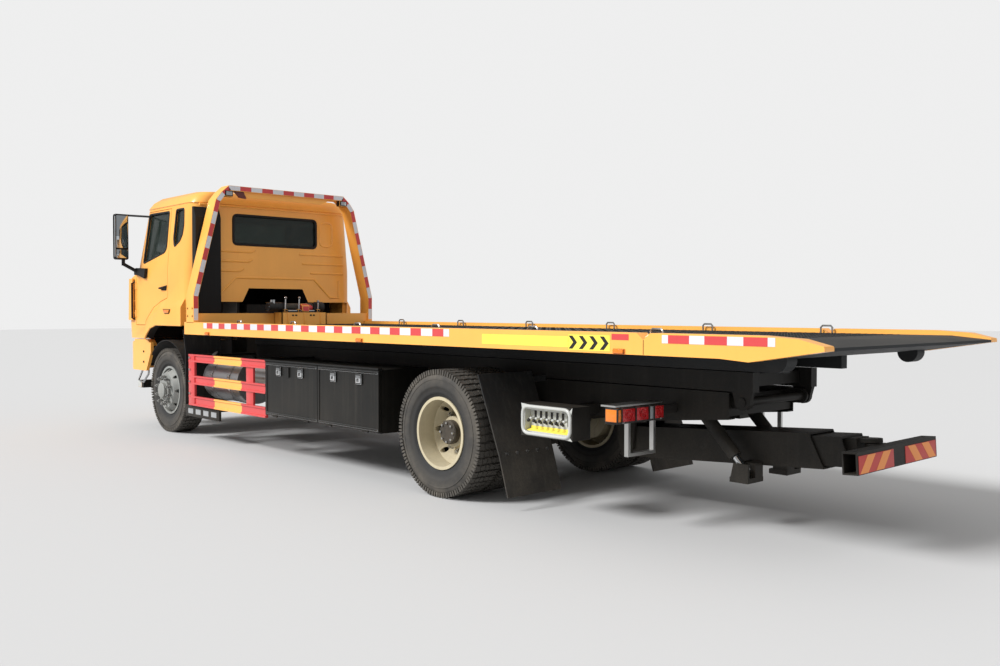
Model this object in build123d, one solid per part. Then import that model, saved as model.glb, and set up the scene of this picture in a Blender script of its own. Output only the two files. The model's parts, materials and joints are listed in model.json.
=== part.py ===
from build123d import *
import math
import os

# A two-axle flatbed tow truck in millimetres. X is forward, Y is left and Z is up from the ground, and the
# origin is on the ground under the middle of the truck's length.

WHEELBASE = 5500
FRONT_OVERHANG = 1280
REAR_OVERHANG = 3400
LENGTH = WHEELBASE + FRONT_OVERHANG + REAR_OVERHANG
REAR_AXLE_X = REAR_OVERHANG - LENGTH / 2
FRONT_AXLE_X = REAR_AXLE_X + WHEELBASE
TAIL_X = -LENGTH / 2

# Wheels
TYRE_R = 525
TYRE_WIDTH = 279
RIM_R = 286
RIM_FLANGE_R = 299
RIM_HALF_WIDTH = 112
RIM_WALL = 12
DISC_OFFSET = 157
DISC_THICK = 12
STUD_CIRCLE_R = 167.5
STUD_COUNT = 10
HAND_HOLE_COUNT = 8
HUB_R = 128
DRUM_R = 205
SPINDLE_R = 45
RUNNING_GAP = 0.05
FRONT_TYRE_Y = 975
REAR_TYRE_Y = 1080
DUAL_SPACING = 322
DUAL_MID_Y = REAR_TYRE_Y - DUAL_SPACING / 2

# Chassis frame
FRAME_HALF_WIDTH = 430
FRAME_TOP = 960
FRAME_HEIGHT = 260
FRAME_FLANGE = 80
FRAME_WALL = 10
FRAME_BOTTOM = FRAME_TOP - FRAME_HEIGHT
FRAME_FRONT_X = FRONT_AXLE_X + 1020
FRAME_REAR_X = REAR_AXLE_X - 2250
FRAME_INNER_Y = FRAME_HALF_WIDTH - FRAME_WALL

# Axles
KINGPIN_Y = 850
KINGPIN_R = 24
KINGPIN_BOSS_R = 44
YOKE_WEB = 26
YOKE_WEB_Y = KINGPIN_Y + KINGPIN_BOSS_R + 8
BOSS_HALF_HEIGHT = 60
YOKE_LUG = 32
YOKE_GAP = 5
AXLE_DROP = 110
SPRING_Y = 390
SPRING_WIDTH = 76

# Cab, with heights from the ground and places ahead of the front axle
CAB_REAR_X = FRONT_AXLE_X - 730
CAB_HALF_WIDTH = 1150
CAB_WALL = 60
CAB_BOTTOM = 1160
CAB_FLOOR = 1420
CAB_FLOOR_THICK = 60
DUCT_DEPTH = 90
REAR_FLOOR_RISE = 270
SHOULDER_Z = 1950
BELT_Z = 2040
ROOF_EDGE_Z = 2840
ROOF_TOP = 2930
CAB_FRONT_X = FRONT_AXLE_X + 1230
NOSE_BULGE = FRONT_OVERHANG - 1230
SCREEN_BASE_X = FRONT_AXLE_X + 950
SCREEN_TOP_X = FRONT_AXLE_X + 735
GLASS_INSET = 22
GLASS_THICK = 8
PANEL_GAP = 7
GRILLE_LOW = 1350
GRILLE_HIGH = 1860
GRILLE_HALF = 780
GRILLE_SLATS = 5
DOOR_HINGE_X = FRONT_AXLE_X + 892
DOOR_HINGE_Y = CAB_HALF_WIDTH + 2
DOOR_HINGE_R = 13
DOOR_HINGE_SPANS = ((1440, 1530), (1800, 1890))

# Bed
BED_HALF_WIDTH = 1250
RAIL_TOP = 1386
RAIL_HEIGHT = 143
RAIL_WIDTH = 110
RAIL_WALL = 10
RAIL_BOTTOM = RAIL_TOP - RAIL_HEIGHT
RAIL_FRONT_X = CAB_REAR_X - 70
DECK_TOP = RAIL_TOP - 36
DECK_THICK = 20
DECK_FRONT_X = RAIL_FRONT_X - 160
DECK_HALF_WIDTH = BED_HALF_WIDTH - RAIL_WIDTH
TILT_GAP = 8
SLIDE_GAP = 6
TILT_RAIL_HEIGHT = 140
TILT_RAIL_BOTTOM = FRAME_TOP + TILT_GAP
TILT_RAIL_TOP = TILT_RAIL_BOTTOM + TILT_RAIL_HEIGHT
RUNNER_BOTTOM = TILT_RAIL_TOP + SLIDE_GAP
CROSS_BEAM_TOP = DECK_TOP - DECK_THICK
HINGE_X = REAR_AXLE_X - 2350
HINGE_Z = FRAME_TOP - 60
HINGE_PIN_R = 30
HINGE_BOSS_R = 55
TAIL_TOP_X = TAIL_X + 156
TAIL_LOW_X = TAIL_X + 476
NOTCH_X = TAIL_X + 1250
ROLLER_X = TAIL_X + 470
ROLLER_R = 75

# Slide cylinder, between the tilt frame and the bed
SLIDE_CYL_Z = TILT_RAIL_TOP + 52
SLIDE_BARREL_X = REAR_AXLE_X - 1480
SLIDE_BARREL_LENGTH = 3920
SLIDE_BARREL_R = 42
SLIDE_ROD_R = 26
SLIDE_LUG_X = REAR_AXLE_X - 1930

# Hoop at the bed's front
HOOP_X = DECK_FRONT_X - 50
HOOP_REAR_X = DECK_FRONT_X - 90
HOOP_DEPTH = 190
HOOP_WIDTH = 80
HOOP_BAR = 100
HOOP_TOP = 3010
HOOP_TOP_HALF = 830
HEADBOARD_TOP = 1490
WINCH_RISE = 80

# Side equipment
SIDE_FACE_Y = 1220
BOX_FRONT_X = REAR_AXLE_X + 2830
BOX_REAR_X = REAR_AXLE_X + 810
BOX_BOTTOM = 440
BOX_TOP = 1005
BOX_WALL = 20
BOX_DEPTH = 520
BOX_DOOR_THICK = 25
BOX_HINGE_R = 9
GUARD_FRONT_X = REAR_AXLE_X + 4840
GUARD_TUBE = 40

# Wheel lift
LIFT_PIVOT_X = REAR_AXLE_X - 1150
LIFT_PIVOT_Z = 485
LIFT_PITCH = 3.5
LIFT_PIN_R = 30
BOOM_HALF_WIDTH = 170
BOOM_HEIGHT = 240
BOOM_WALL = 12
BOOM_LENGTH = 1620
TUBE_GAP = 8
TUBE_OUT = 200
TUBE_TAIL = 1360
CROSSBAR_HALF = 570
CROSSBAR_DEPTH = 100
CROSSBAR_HEIGHT = 140
CROSSBAR_WALL = 10
CROSSBAR_DROP = -16
SWIVEL_BACK = -BOOM_LENGTH - TUBE_OUT - 120
SWIVEL_PIN_R = 25
SWIVEL_LOW = -80
SWIVEL_HIGH = 84
FORK_PIN_Y = 490
FORK_PIN_R = 12.5
LIFT_CYL_Y = 300
LIFT_TOP_X = REAR_AXLE_X - 1880
LIFT_TOP_Z = 865
LIFT_EYE_X = REAR_AXLE_X - 2300
LIFT_EYE_Z = 420
LIFT_BARREL_R = 48
LIFT_ROD_R = 27

# Bed tilt cylinders
TILT_CYL_Y = 230
TILT_BASE_X = REAR_AXLE_X + 400
TILT_BASE_Z = 620
TILT_EYE_X = REAR_AXLE_X - 800
TILT_EYE_Z = 1040
TILT_BARREL_SHARE = 0.62
LIFT_BARREL_SHARE = 0.82
TILT_BARREL_R = 60
TILT_ROD_R = 30
PIN_R = 20
EYE_WIDTH = 60
EYE_R = 38
LUG_THICK = 18
LUG_GAP = 6


def block(x0, x1, y0, y1, z0, z1):
    """A box between two corners."""
    return Pos((x0 + x1) / 2, (y0 + y1) / 2, (z0 + z1) / 2) * Box(abs(x1 - x0), abs(y1 - y0), abs(z1 - z0))


def side_plate(points, y0, y1):
    """A plate cut to an outline of (x, z) points, from y0 to y1."""
    outline = Polyline([(x, y0, z) for x, z in points], close=True)
    return extrude(make_face(outline), amount=y1 - y0, dir=(0, 1, 0))


def plan_plate(points, z0, z1):
    """A plate cut to an outline of (x, y) points, from z0 to z1."""
    outline = Polyline([(x, y, z0) for x, y in points], close=True)
    return extrude(make_face(outline), amount=z1 - z0, dir=(0, 0, 1))


def cross_plate(points, x0, x1):
    """A plate cut to an outline of (y, z) points, from x0 to x1."""
    outline = Polyline([(x0, y, z) for y, z in points], close=True)
    return extrude(make_face(outline), amount=x1 - x0, dir=(1, 0, 0))


def rod_y(x, z, y0, y1, radius):
    """A round bar along Y."""
    return Pos(x, (y0 + y1) / 2, z) * Rot(90, 0, 0) * Cylinder(radius, abs(y1 - y0))


def rod_x(y, z, x0, x1, radius):
    """A round bar along X."""
    return Pos((x0 + x1) / 2, y, z) * Rot(0, 90, 0) * Cylinder(radius, abs(x1 - x0))


def rod_z(x, y, z0, z1, radius):
    """An upright round bar."""
    return Pos(x, y, (z0 + z1) / 2) * Cylinder(radius, abs(z1 - z0))


def rod_between(start, end, radius):
    """A round bar from one point to another."""
    line = Vector(*end) - Vector(*start)
    return Solid.make_cylinder(radius, line.length, Plane(origin=start, z_dir=line))


def mirrored(shape):
    """The same piece on the other side of the truck."""
    return mirror(shape, Plane.XZ)


def both_sides(shape):
    """A piece and its mirror image."""
    return Compound([shape, mirrored(shape)])


def joined(pieces):
    """Pieces that overlap, as one solid."""
    whole = pieces[0]
    for piece in pieces[1:]:
        whole = whole + piece
    return whole


# Wheels


def ring_section(points):
    """A ring about the Y axis from (y, r) points of its section."""
    outline = Polyline([(0, y, r) for y, r in points], close=True)
    return revolve(make_face(outline), Axis.Y, 360)


def tyre(y, axle_x):
    """A tyre whose middle is at y, outside its rim."""
    half = TYRE_WIDTH / 2
    bead_r = RIM_R + 1
    bead_half = RIM_HALF_WIDTH - RIM_WALL - 1
    shoulder_r = TYRE_R - 26
    section = [
        (-bead_half, bead_r),
        (-bead_half, RIM_FLANGE_R + 2),
        (-bead_half - 10, RIM_FLANGE_R + 12),
        (-half, (TYRE_R + RIM_R) / 2),
        (-half + 12, shoulder_r),
        (-half + 34, TYRE_R),
        (half - 34, TYRE_R),
        (half - 12, shoulder_r),
        (half, (TYRE_R + RIM_R) / 2),
        (bead_half + 10, RIM_FLANGE_R + 12),
        (bead_half, RIM_FLANGE_R + 2),
        (bead_half, bead_r),
    ]
    return Pos(axle_x, y, TYRE_R) * ring_section(section)


def rim_ring(disc_side):
    """A rim about y = 0 with its disc towards disc_side, with hand holes and studs."""
    half = RIM_HALF_WIDTH
    inner = RIM_R - RIM_WALL
    barrel = ring_section([
        (-half, RIM_FLANGE_R), (-half, inner), (half, inner), (half, RIM_FLANGE_R),
        (half - RIM_WALL, RIM_FLANGE_R), (half - RIM_WALL, RIM_R),
        (-half + RIM_WALL, RIM_R), (-half + RIM_WALL, RIM_FLANGE_R),
    ])
    face = DISC_OFFSET * disc_side
    back = (DISC_OFFSET - DISC_THICK) * disc_side
    root = (DISC_OFFSET - 95) * disc_side
    disc = ring_section([
        (root, inner + 2), (face, 215), (face, HUB_R - 10), (back, HUB_R - 10), (back, 208),
        (root - DISC_THICK * disc_side, inner - 2), (root - DISC_THICK * disc_side, inner + 2),
    ])
    for step in range(HAND_HOLE_COUNT):
        hole = Pos(0, (root + face) / 2, 0) * Rot(0, 360 / HAND_HOLE_COUNT * step, 0) \
            * Pos(0, 0, 246) * Rot(90, 0, 0) * Cylinder(23, 160)
        disc = disc - hole
    return barrel + disc


def studs(y0, y1):
    """Wheel studs with their nuts, round the Y axis."""
    bars = []
    for step in range(STUD_COUNT):
        turn = Rot(0, 360 / STUD_COUNT * step, 0)
        bars.append(turn * Pos(0, (y0 + y1) / 2, STUD_CIRCLE_R) * Rot(90, 0, 0) * Cylinder(15, abs(y1 - y0)))
    return bars


def hub(y0, y1, cap_y, drum_y0, drum_y1):
    """A hub with a cap and its brake drum, bored for the spindle."""
    body = rod_y(0, 0, y0, y1, HUB_R)
    cap = rod_y(0, 0, y1, cap_y, HUB_R * 0.72)
    drum = rod_y(0, 0, drum_y0, drum_y1, DRUM_R)
    bore = rod_y(0, 0, y0 - 400, y1 - 20, SPINDLE_R + RUNNING_GAP)
    return (body + cap + drum) - bore


def front_rim():
    """The left front rim with its hub and drum."""
    rim = rim_ring(1)
    back = YOKE_WEB_Y + YOKE_WEB + 6 - FRONT_TYRE_Y
    core = hub(back, DISC_OFFSET + 30, DISC_OFFSET + 62, back, DISC_OFFSET - DISC_THICK)
    whole = joined([rim, core] + studs(DISC_OFFSET - DISC_THICK - 6, DISC_OFFSET + 30))
    bore = rod_y(0, 0, -400, DISC_OFFSET + 10, SPINDLE_R + RUNNING_GAP)
    return Pos(FRONT_AXLE_X, FRONT_TYRE_Y, TYRE_R) * (whole - bore)


def rear_rims():
    """The left pair of rear rims back to back, with their hub and drum."""
    outer = Pos(0, DUAL_SPACING / 2, 0) * rim_ring(-1)
    inner = Pos(0, -DUAL_SPACING / 2, 0) * rim_ring(1)
    core = hub(-300, 130, 190, -290, -4)
    whole = joined([outer, inner, core] + studs(-20, 52))
    bore = rod_y(0, 0, -600, 110, SPINDLE_R + RUNNING_GAP)
    return Pos(REAR_AXLE_X, DUAL_MID_Y, TYRE_R) * (whole - bore)


# Axles and springs


def front_axle():
    """A forged I beam with kingpin bosses, dropped between its spring seats."""
    seat = SPRING_Y + 110
    low = TYRE_R - AXLE_DROP
    rise = KINGPIN_Y - 90
    web = [
        (-KINGPIN_Y, TYRE_R - 30), (-rise, TYRE_R - 40), (-seat, low - 45), (seat, low - 45),
        (rise, TYRE_R - 40), (KINGPIN_Y, TYRE_R - 30), (KINGPIN_Y, TYRE_R + 30), (rise, TYRE_R + 40),
        (seat, low + 45), (-seat, low + 45), (-rise, TYRE_R + 40), (-KINGPIN_Y, TYRE_R + 30),
    ]
    beam = cross_plate(web, FRONT_AXLE_X - 45, FRONT_AXLE_X + 45)
    recess = block(FRONT_AXLE_X + 18, FRONT_AXLE_X + 60, -seat, seat, low - 27, low + 27)
    recess_back = block(FRONT_AXLE_X - 60, FRONT_AXLE_X - 18, -seat, seat, low - 27, low + 27)
    beam = beam - recess - recess_back
    for side in (-1, 1):
        z0 = TYRE_R - BOSS_HALF_HEIGHT
        z1 = TYRE_R + BOSS_HALF_HEIGHT
        beam = beam + rod_z(FRONT_AXLE_X, side * KINGPIN_Y, z0, z1, KINGPIN_BOSS_R)
        beam = beam - rod_z(FRONT_AXLE_X, side * KINGPIN_Y, z0 - 5, z1 + 5, KINGPIN_R + RUNNING_GAP)
    return beam


def knuckle():
    """The left steering knuckle: a yoke on the kingpin, its spindle and its steering arm."""
    x, y, z = FRONT_AXLE_X, KINGPIN_Y, TYRE_R
    lug_low = BOSS_HALF_HEIGHT + YOKE_GAP
    lug_high = lug_low + YOKE_LUG
    web_y = YOKE_WEB_Y
    pieces = [
        block(x - 40, x + 40, web_y, web_y + YOKE_WEB, z - lug_high, z + lug_high),
        rod_z(x, y, z + lug_low, z + lug_high, KINGPIN_BOSS_R),
        rod_z(x, y, z - lug_high, z - lug_low, KINGPIN_BOSS_R),
        block(x - 40, x + 40, y, web_y + 5, z + lug_low, z + lug_high),
        block(x - 40, x + 40, y, web_y + 5, z - lug_high, z - lug_low),
        rod_z(x, y, z - lug_high, z + lug_high, KINGPIN_R),
        rod_y(x, z, web_y + 20, FRONT_TYRE_Y + DISC_OFFSET, SPINDLE_R),
        plan_plate([(x - 30, y + 20), (x - 250, y - 90), (x - 250, y - 40), (x - 30, y + 50)],
                   z - lug_high, z - lug_high + 24),
    ]
    return joined(pieces)


def rear_axle():
    """A banjo housing with its spindles and the nose of the differential."""
    tube = rod_y(REAR_AXLE_X, TYRE_R, -590, 590, 68)
    spindle = rod_y(REAR_AXLE_X, TYRE_R, -DUAL_MID_Y - 105, DUAL_MID_Y + 105, SPINDLE_R)
    banjo = rod_x(0, TYRE_R, REAR_AXLE_X - 130, REAR_AXLE_X + 110, 190)
    nose = rod_x(0, TYRE_R, REAR_AXLE_X + 100, REAR_AXLE_X + 300, 95)
    cover = Pos(REAR_AXLE_X - 130, 0, TYRE_R) * Sphere(150)
    return joined([tube, spindle, banjo, nose, cover])


def leaf_spring(axle_x, length, seat_z, end_z, leaves):
    """One stack of leaves over an axle, curved up to its two eyes."""
    stack = None
    thick = 13
    for step in range(leaves):
        reach = length / 2 * (1 - step * 0.8 / leaves)
        sag = (end_z - seat_z) * (reach / (length / 2)) ** 2
        base = seat_z + thick * (leaves - step - 1)
        top_line = ThreePointArc(
            (axle_x - reach, 0, base + sag + thick + 0.5), (axle_x, 0, base + thick + 0.5),
            (axle_x + reach, 0, base + sag + thick + 0.5))
        low_line = ThreePointArc(
            (axle_x - reach, 0, base + sag), (axle_x, 0, base), (axle_x + reach, 0, base + sag))
        edges = [top_line, low_line, Line(top_line @ 0, low_line @ 0), Line(top_line @ 1, low_line @ 1)]
        leaf = extrude(make_face(edges), amount=SPRING_WIDTH, dir=(0, 1, 0))
        stack = leaf if stack is None else stack + leaf
    eyes = rod_y(axle_x - length / 2, end_z + thick * leaves, 0, SPRING_WIDTH, 26)
    eyes_front = rod_y(axle_x + length / 2, end_z + thick * leaves, 0, SPRING_WIDTH, 26)
    return Pos(0, SPRING_Y - SPRING_WIDTH / 2, 0) * (stack + eyes + eyes_front)


def leaf_springs():
    """Front and rear springs on both sides."""
    front = leaf_spring(FRONT_AXLE_X, 1500, TYRE_R - AXLE_DROP + 46, FRAME_BOTTOM - 110, 4)
    rear = leaf_spring(REAR_AXLE_X, 1400, TYRE_R + 69, FRAME_BOTTOM - 92, 4)
    return Compound([front, mirrored(front), rear, mirrored(rear)])


# Chassis frame


def frame_rail():
    """The left channel rail, shallower towards the tail."""
    taper_x = REAR_AXLE_X - 1500
    rear_z = FRAME_TOP - 190
    outline = [
        (FRAME_REAR_X, FRAME_TOP), (FRAME_FRONT_X, FRAME_TOP), (FRAME_FRONT_X, FRAME_BOTTOM),
        (taper_x, FRAME_BOTTOM), (FRAME_REAR_X, rear_z),
    ]
    pocket = [
        (FRAME_REAR_X - 10, FRAME_TOP - FRAME_WALL), (FRAME_FRONT_X + 10, FRAME_TOP - FRAME_WALL),
        (FRAME_FRONT_X + 10, FRAME_BOTTOM + FRAME_WALL), (taper_x, FRAME_BOTTOM + FRAME_WALL),
        (FRAME_REAR_X - 10, rear_z + FRAME_WALL),
    ]
    rail = side_plate(outline, FRAME_HALF_WIDTH - FRAME_FLANGE, FRAME_HALF_WIDTH)
    return rail - side_plate(pocket, FRAME_HALF_WIDTH - FRAME_FLANGE - 10, FRAME_INNER_Y)


def lift_hanger():
    """One side of the bracket that hangs the wheel lift's pivot under the frame."""
    y0 = BOOM_HALF_WIDTH + 10
    outline = [
        (LIFT_PIVOT_X - 120, FRAME_TOP - 20), (LIFT_PIVOT_X + 160, FRAME_TOP - 20),
        (LIFT_PIVOT_X + 70, LIFT_PIVOT_Z - 60), (LIFT_PIVOT_X - 60, LIFT_PIVOT_Z - 60),
    ]
    return side_plate(outline, y0, y0 + 22)


def chassis_frame():
    """Two channel rails with their cross members, brackets and hinge plates."""
    rail = frame_rail()
    pieces = [rail, mirrored(rail)]
    # station ahead of the rear axle, depth along X, bottom height
    cross_members = (
        (WHEELBASE + 960, 70, FRAME_BOTTOM + 20),
        (4300, 80, FRAME_BOTTOM + 20),
        (2700, 80, FRAME_BOTTOM + 20),
        (TILT_BASE_X - REAR_AXLE_X + 90, 90, FRAME_BOTTOM + 20),
        (-880, 90, FRAME_BOTTOM + 20),
        (-1130, 130, FRAME_BOTTOM + 20),
        (-2190, 90, FRAME_TOP - 170),
    )
    for station, depth, low in cross_members:
        x = REAR_AXLE_X + station
        beam = block(x - depth / 2, x + depth / 2, -FRAME_INNER_Y - 1, FRAME_INNER_Y + 1, low, FRAME_TOP - 20)
        pocket = block(x - depth / 2 + 12, x + depth / 2 - 12, -FRAME_INNER_Y - 1, FRAME_INNER_Y + 1,
                       low - 5, FRAME_TOP - 32)
        pieces.append(beam - pocket)
    for side in (-1, 1):
        hanger = lift_hanger()
        hinge_y0 = FRAME_HALF_WIDTH - FRAME_FLANGE + 2
        plate = side_plate([
            (FRAME_REAR_X + 60, HINGE_Z + HINGE_BOSS_R), (FRAME_REAR_X + 60, HINGE_Z - HINGE_BOSS_R),
            (HINGE_X, HINGE_Z - HINGE_BOSS_R), (HINGE_X, HINGE_Z + HINGE_BOSS_R)], hinge_y0, hinge_y0 + 22)
        plate = plate + rod_y(HINGE_X, HINGE_Z, hinge_y0, hinge_y0 + 22, HINGE_BOSS_R)
        lift_pin = rod_y(LIFT_TOP_X, LIFT_TOP_Z, LIFT_CYL_Y - EYE_WIDTH / 2 - 10, FRAME_INNER_Y + 1, PIN_R)
        lift_boss = rod_y(LIFT_TOP_X, LIFT_TOP_Z, LIFT_CYL_Y + EYE_WIDTH / 2 + LUG_GAP, FRAME_INNER_Y + 1, EYE_R)
        bar_drop = block(FRAME_FRONT_X - 160, FRAME_FRONT_X - 90, FRAME_HALF_WIDTH - FRAME_FLANGE,
                         FRAME_HALF_WIDTH, 560, FRAME_BOTTOM + 5)
        for piece in (hanger, plate, lift_pin, lift_boss, bar_drop):
            pieces.append(piece if side > 0 else mirrored(piece))
    pieces.append(rod_y(HINGE_X, HINGE_Z, -FRAME_HALF_WIDTH, FRAME_HALF_WIDTH, HINGE_PIN_R))
    pieces.append(rod_y(LIFT_PIVOT_X, LIFT_PIVOT_Z, -BOOM_HALF_WIDTH - 40, BOOM_HALF_WIDTH + 40, LIFT_PIN_R))
    pieces.append(block(FRAME_FRONT_X - 175, FRAME_FRONT_X - 75, -1080, 1080, 500, 600))
    # lugs and pin for the tilt cylinders, on their own cross member
    pieces.append(rod_y(TILT_BASE_X, TILT_BASE_Z, -TILT_CYL_Y - 60, TILT_CYL_Y + 60, PIN_R))
    for y in (-TILT_CYL_Y, TILT_CYL_Y):
        for side in (-1, 1):
            inner = y + side * (EYE_WIDTH / 2 + LUG_GAP)
            outer = inner + side * LUG_THICK
            y0, y1 = min(inner, outer), max(inner, outer)
            pieces.append(side_plate([
                (TILT_BASE_X, TILT_BASE_Z - EYE_R), (TILT_BASE_X + 50, TILT_BASE_Z - EYE_R),
                (TILT_BASE_X + 130, FRAME_BOTTOM + 60), (TILT_BASE_X + 48, FRAME_BOTTOM + 60),
                (TILT_BASE_X - 20, TILT_BASE_Z + EYE_R - 8)], y0, y1))
            pieces.append(rod_y(TILT_BASE_X, TILT_BASE_Z, y0, y1, EYE_R))
    return joined(pieces)


def engine_block():
    """The engine's mass, as one plain block."""
    return block(FRONT_AXLE_X - 560, FRONT_AXLE_X + 520, -320, 320, TYRE_R + 110, 1600)


def tanks():
    """The fuel tank with its straps, and air tanks, behind the side guards."""
    y = 860
    z = 720
    radius = 250
    front = GUARD_FRONT_X - 330
    rear = GUARD_FRONT_X - 1180
    fuel = rod_x(y, z, rear, front, radius)
    for station in (0.25, 0.75):
        x = rear + (front - rear) * station
        fuel = fuel + rod_x(y, z, x - 25, x + 25, radius + 6)
        fuel = fuel + block(x - 25, x + 25, FRAME_HALF_WIDTH, y, z + 100, z + 160)
    air = rod_x(y + 60, z + 90, BOX_FRONT_X + 60, rear - 90, 120)
    air = air + block(BOX_FRONT_X + 120, BOX_FRONT_X + 160, FRAME_HALF_WIDTH, y, z + 70, z + 110)
    return Compound([fuel, air, mirrored(air)])


def exhaust_box():
    """The silencer on the right, with its tail pipe."""
    front = GUARD_FRONT_X - 330
    rear = GUARD_FRONT_X - 1000
    body = rod_x(-840, 700, rear, front, 220)
    bracket = block(front - 200, front - 140, -840, -FRAME_HALF_WIDTH, 780, 840)
    pipe = rod_x(-700, 560, rear - 260, rear + 20, 55)
    return joined([body, bracket, pipe])


# Side equipment


def side_guard():
    """The left side guard: three rails on two posts, with arms to the frame."""
    front = GUARD_FRONT_X
    rear = BOX_FRONT_X
    y1 = SIDE_FACE_Y
    y0 = y1 - GUARD_TUBE
    # bottom and top of each rail
    rails = ((410, 520), (660, 760), (920, 1010))
    pieces = [block(rear + 2, front, y0, y1, low, high) for low, high in rails]
    for x0, x1 in ((front - 200, front), (rear + 330, rear + 490)):
        pieces.append(block(x0, x1, y0, y1, rails[0][0], rails[-1][1]))
    for x in (front - 120, rear + 410):
        pieces.append(block(x - 30, x + 30, FRAME_HALF_WIDTH, y0 + 1, 985, 1008))
        pieces.append(block(x - 30, x + 30, FRAME_HALF_WIDTH, FRAME_HALF_WIDTH + 16, 760, 1008))
    return joined(pieces)


def tool_box():
    """The left tool box: an open case for two doors, on brackets from the frame."""
    y1 = SIDE_FACE_Y - BOX_DOOR_THICK - 6
    y0 = y1 - BOX_DEPTH
    case = block(BOX_REAR_X, BOX_FRONT_X, y0, y1, BOX_BOTTOM, BOX_TOP)
    middle = (BOX_REAR_X + BOX_FRONT_X) / 2
    for x0, x1 in ((BOX_REAR_X + BOX_WALL, middle - BOX_WALL / 2), (middle + BOX_WALL / 2, BOX_FRONT_X - BOX_WALL)):
        case = case - block(x0, x1, y0 + BOX_WALL, y1 + 5, BOX_BOTTOM + BOX_WALL, BOX_TOP - BOX_WALL)
    lip = block(BOX_REAR_X, BOX_FRONT_X, y1 - 5, SIDE_FACE_Y + 6, BOX_TOP - 2, BOX_TOP + 14)
    pieces = [case, lip]
    for x in (BOX_REAR_X + 300, BOX_FRONT_X - 300):
        pieces.append(block(x - 35, x + 35, FRAME_HALF_WIDTH, y0 + 5, 800, 860))
    return joined(pieces)


def tool_box_door(index):
    """One door of the left tool box, with its latch, counted from the rear."""
    width = (BOX_FRONT_X - BOX_REAR_X) / 2
    x0 = BOX_REAR_X + width * index + 4
    x1 = x0 + width - 8
    y1 = SIDE_FACE_Y
    y0 = y1 - BOX_DOOR_THICK
    door = block(x0, x1, y0, y1, BOX_BOTTOM + 6, BOX_TOP - 8)
    panel = block(x0 + 30, x1 - 30, y1 - 5, y1 + 5, BOX_BOTTOM + 40, BOX_TOP - 40)
    latch_x = x0 + width * (0.3 + 0.25 * index)
    latch = block(latch_x - 35, latch_x + 35, y1 - 6, y1 + 8, BOX_TOP - 150, BOX_TOP - 50)
    door = (door - panel) + latch
    for share in (0.2, 0.8):
        x = x0 + (x1 - x0) * share
        door = door + rod_x(y1, BOX_BOTTOM + 6, x - 45, x + 45, BOX_HINGE_R)
    return door


def mudguards():
    """Plates and flaps behind the rear wheels, and behind the front wheels."""
    x = REAR_AXLE_X
    y0, y1 = 590, 1175
    plate = side_plate([
        (x - 460, 1030), (x - 448, 1030), (x - 698, 410), (x - 712, 410)], y0, y1)
    flap = side_plate([(x - 690, 440), (x - 702, 440), (x - 806, 107), (x - 794, 107)], y0, y1)
    stay = block(x - 470, x - 420, FRAME_HALF_WIDTH, y0 + 20, 940, 990)
    stay = stay + block(x - 470, x - 440, y0, y0 + 60, 940, 1030)
    rear = joined([plate, flap, stay])
    front_x = CAB_REAR_X + 60
    guard = side_plate([
        (front_x + 60, 1290), (front_x + 72, 1290), (front_x + 12, 1050), (front_x + 12, 330), (front_x, 330),
        (front_x, 1050)], 720, 1180)
    arm = block(front_x - 10, front_x + 10, FRAME_HALF_WIDTH, 760, 800, 850)
    front = joined([guard, arm])
    return Compound([rear, mirrored(rear), front, mirrored(front)])


def bumper_plan(inset, rear_x):
    """The bumper's plan outline, inset from its outer face."""
    side_x = CAB_FRONT_X - 50 - inset
    y = CAB_HALF_WIDTH - inset
    radius = 200 - inset
    mid = ThreePointArc((side_x, -y + radius), (side_x + NOSE_BULGE, 0), (side_x, y - radius))
    left = RadiusArc((side_x - radius, y), (side_x, y - radius), radius)
    right = RadiusArc((side_x, -y + radius), (side_x - radius, -y), radius)
    back = Polyline((side_x - radius, y), (rear_x, y), (rear_x, -y), (side_x - radius, -y))
    return make_face([mid, left, right, back])


def front_bumper():
    """The painted bumper shell, wrapped round to the wheel arches, on two brackets."""
    low, high = 742, 1110
    rear_x = FRONT_AXLE_X + 430
    outer = extrude(Pos(0, 0, low) * bumper_plan(0, rear_x), amount=high - low)
    inner = extrude(Pos(0, 0, low - 10) * bumper_plan(40, rear_x - 50), amount=high - low + 20)
    shell = outer - inner
    for side in (-1, 1):
        arch = side_plate([
            (rear_x - 5, low - 5), (rear_x + 150, low - 5), (rear_x - 5, low + 250)],
            side * 1000 if side > 0 else -1200, 1200 if side > 0 else -1000)
        shell = shell - arch
        shell = shell + block(FRAME_FRONT_X, CAB_FRONT_X - 30, side * 390 - 30, side * 390 + 30, 800, 900)
    lamp = block(CAB_FRONT_X - 180, CAB_FRONT_X + 80, 640, 980, 860, 1040)
    return shell - lamp - mirrored(lamp)


def headlamps():
    """Headlamp units set in the bumper."""
    lamp = block(CAB_FRONT_X - 150, CAB_FRONT_X - 62, 642, 978, 862, 1038)
    return both_sides(lamp)


def tail_lamps():
    """Tail lamp bars on arms from the frame, with a step under each."""
    x = REAR_AXLE_X - 1800
    bar = block(x - 60, x + 30, 670, 1180, 760, 880)
    cover = block(x - 70, x + 60, 680, 1190, 878, 890)
    arm = block(x - 10, x + 30, FRAME_HALF_WIDTH, 700, 790, 850)
    step = block(x - 25, x + 10, 700, 724, 520, 765) + block(x - 25, x + 10, 976, 1000, 520, 765)
    step = step + block(x - 25, x + 10, 700, 1000, 520, 544)
    return both_sides(joined([bar, cover, arm, step]))


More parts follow.
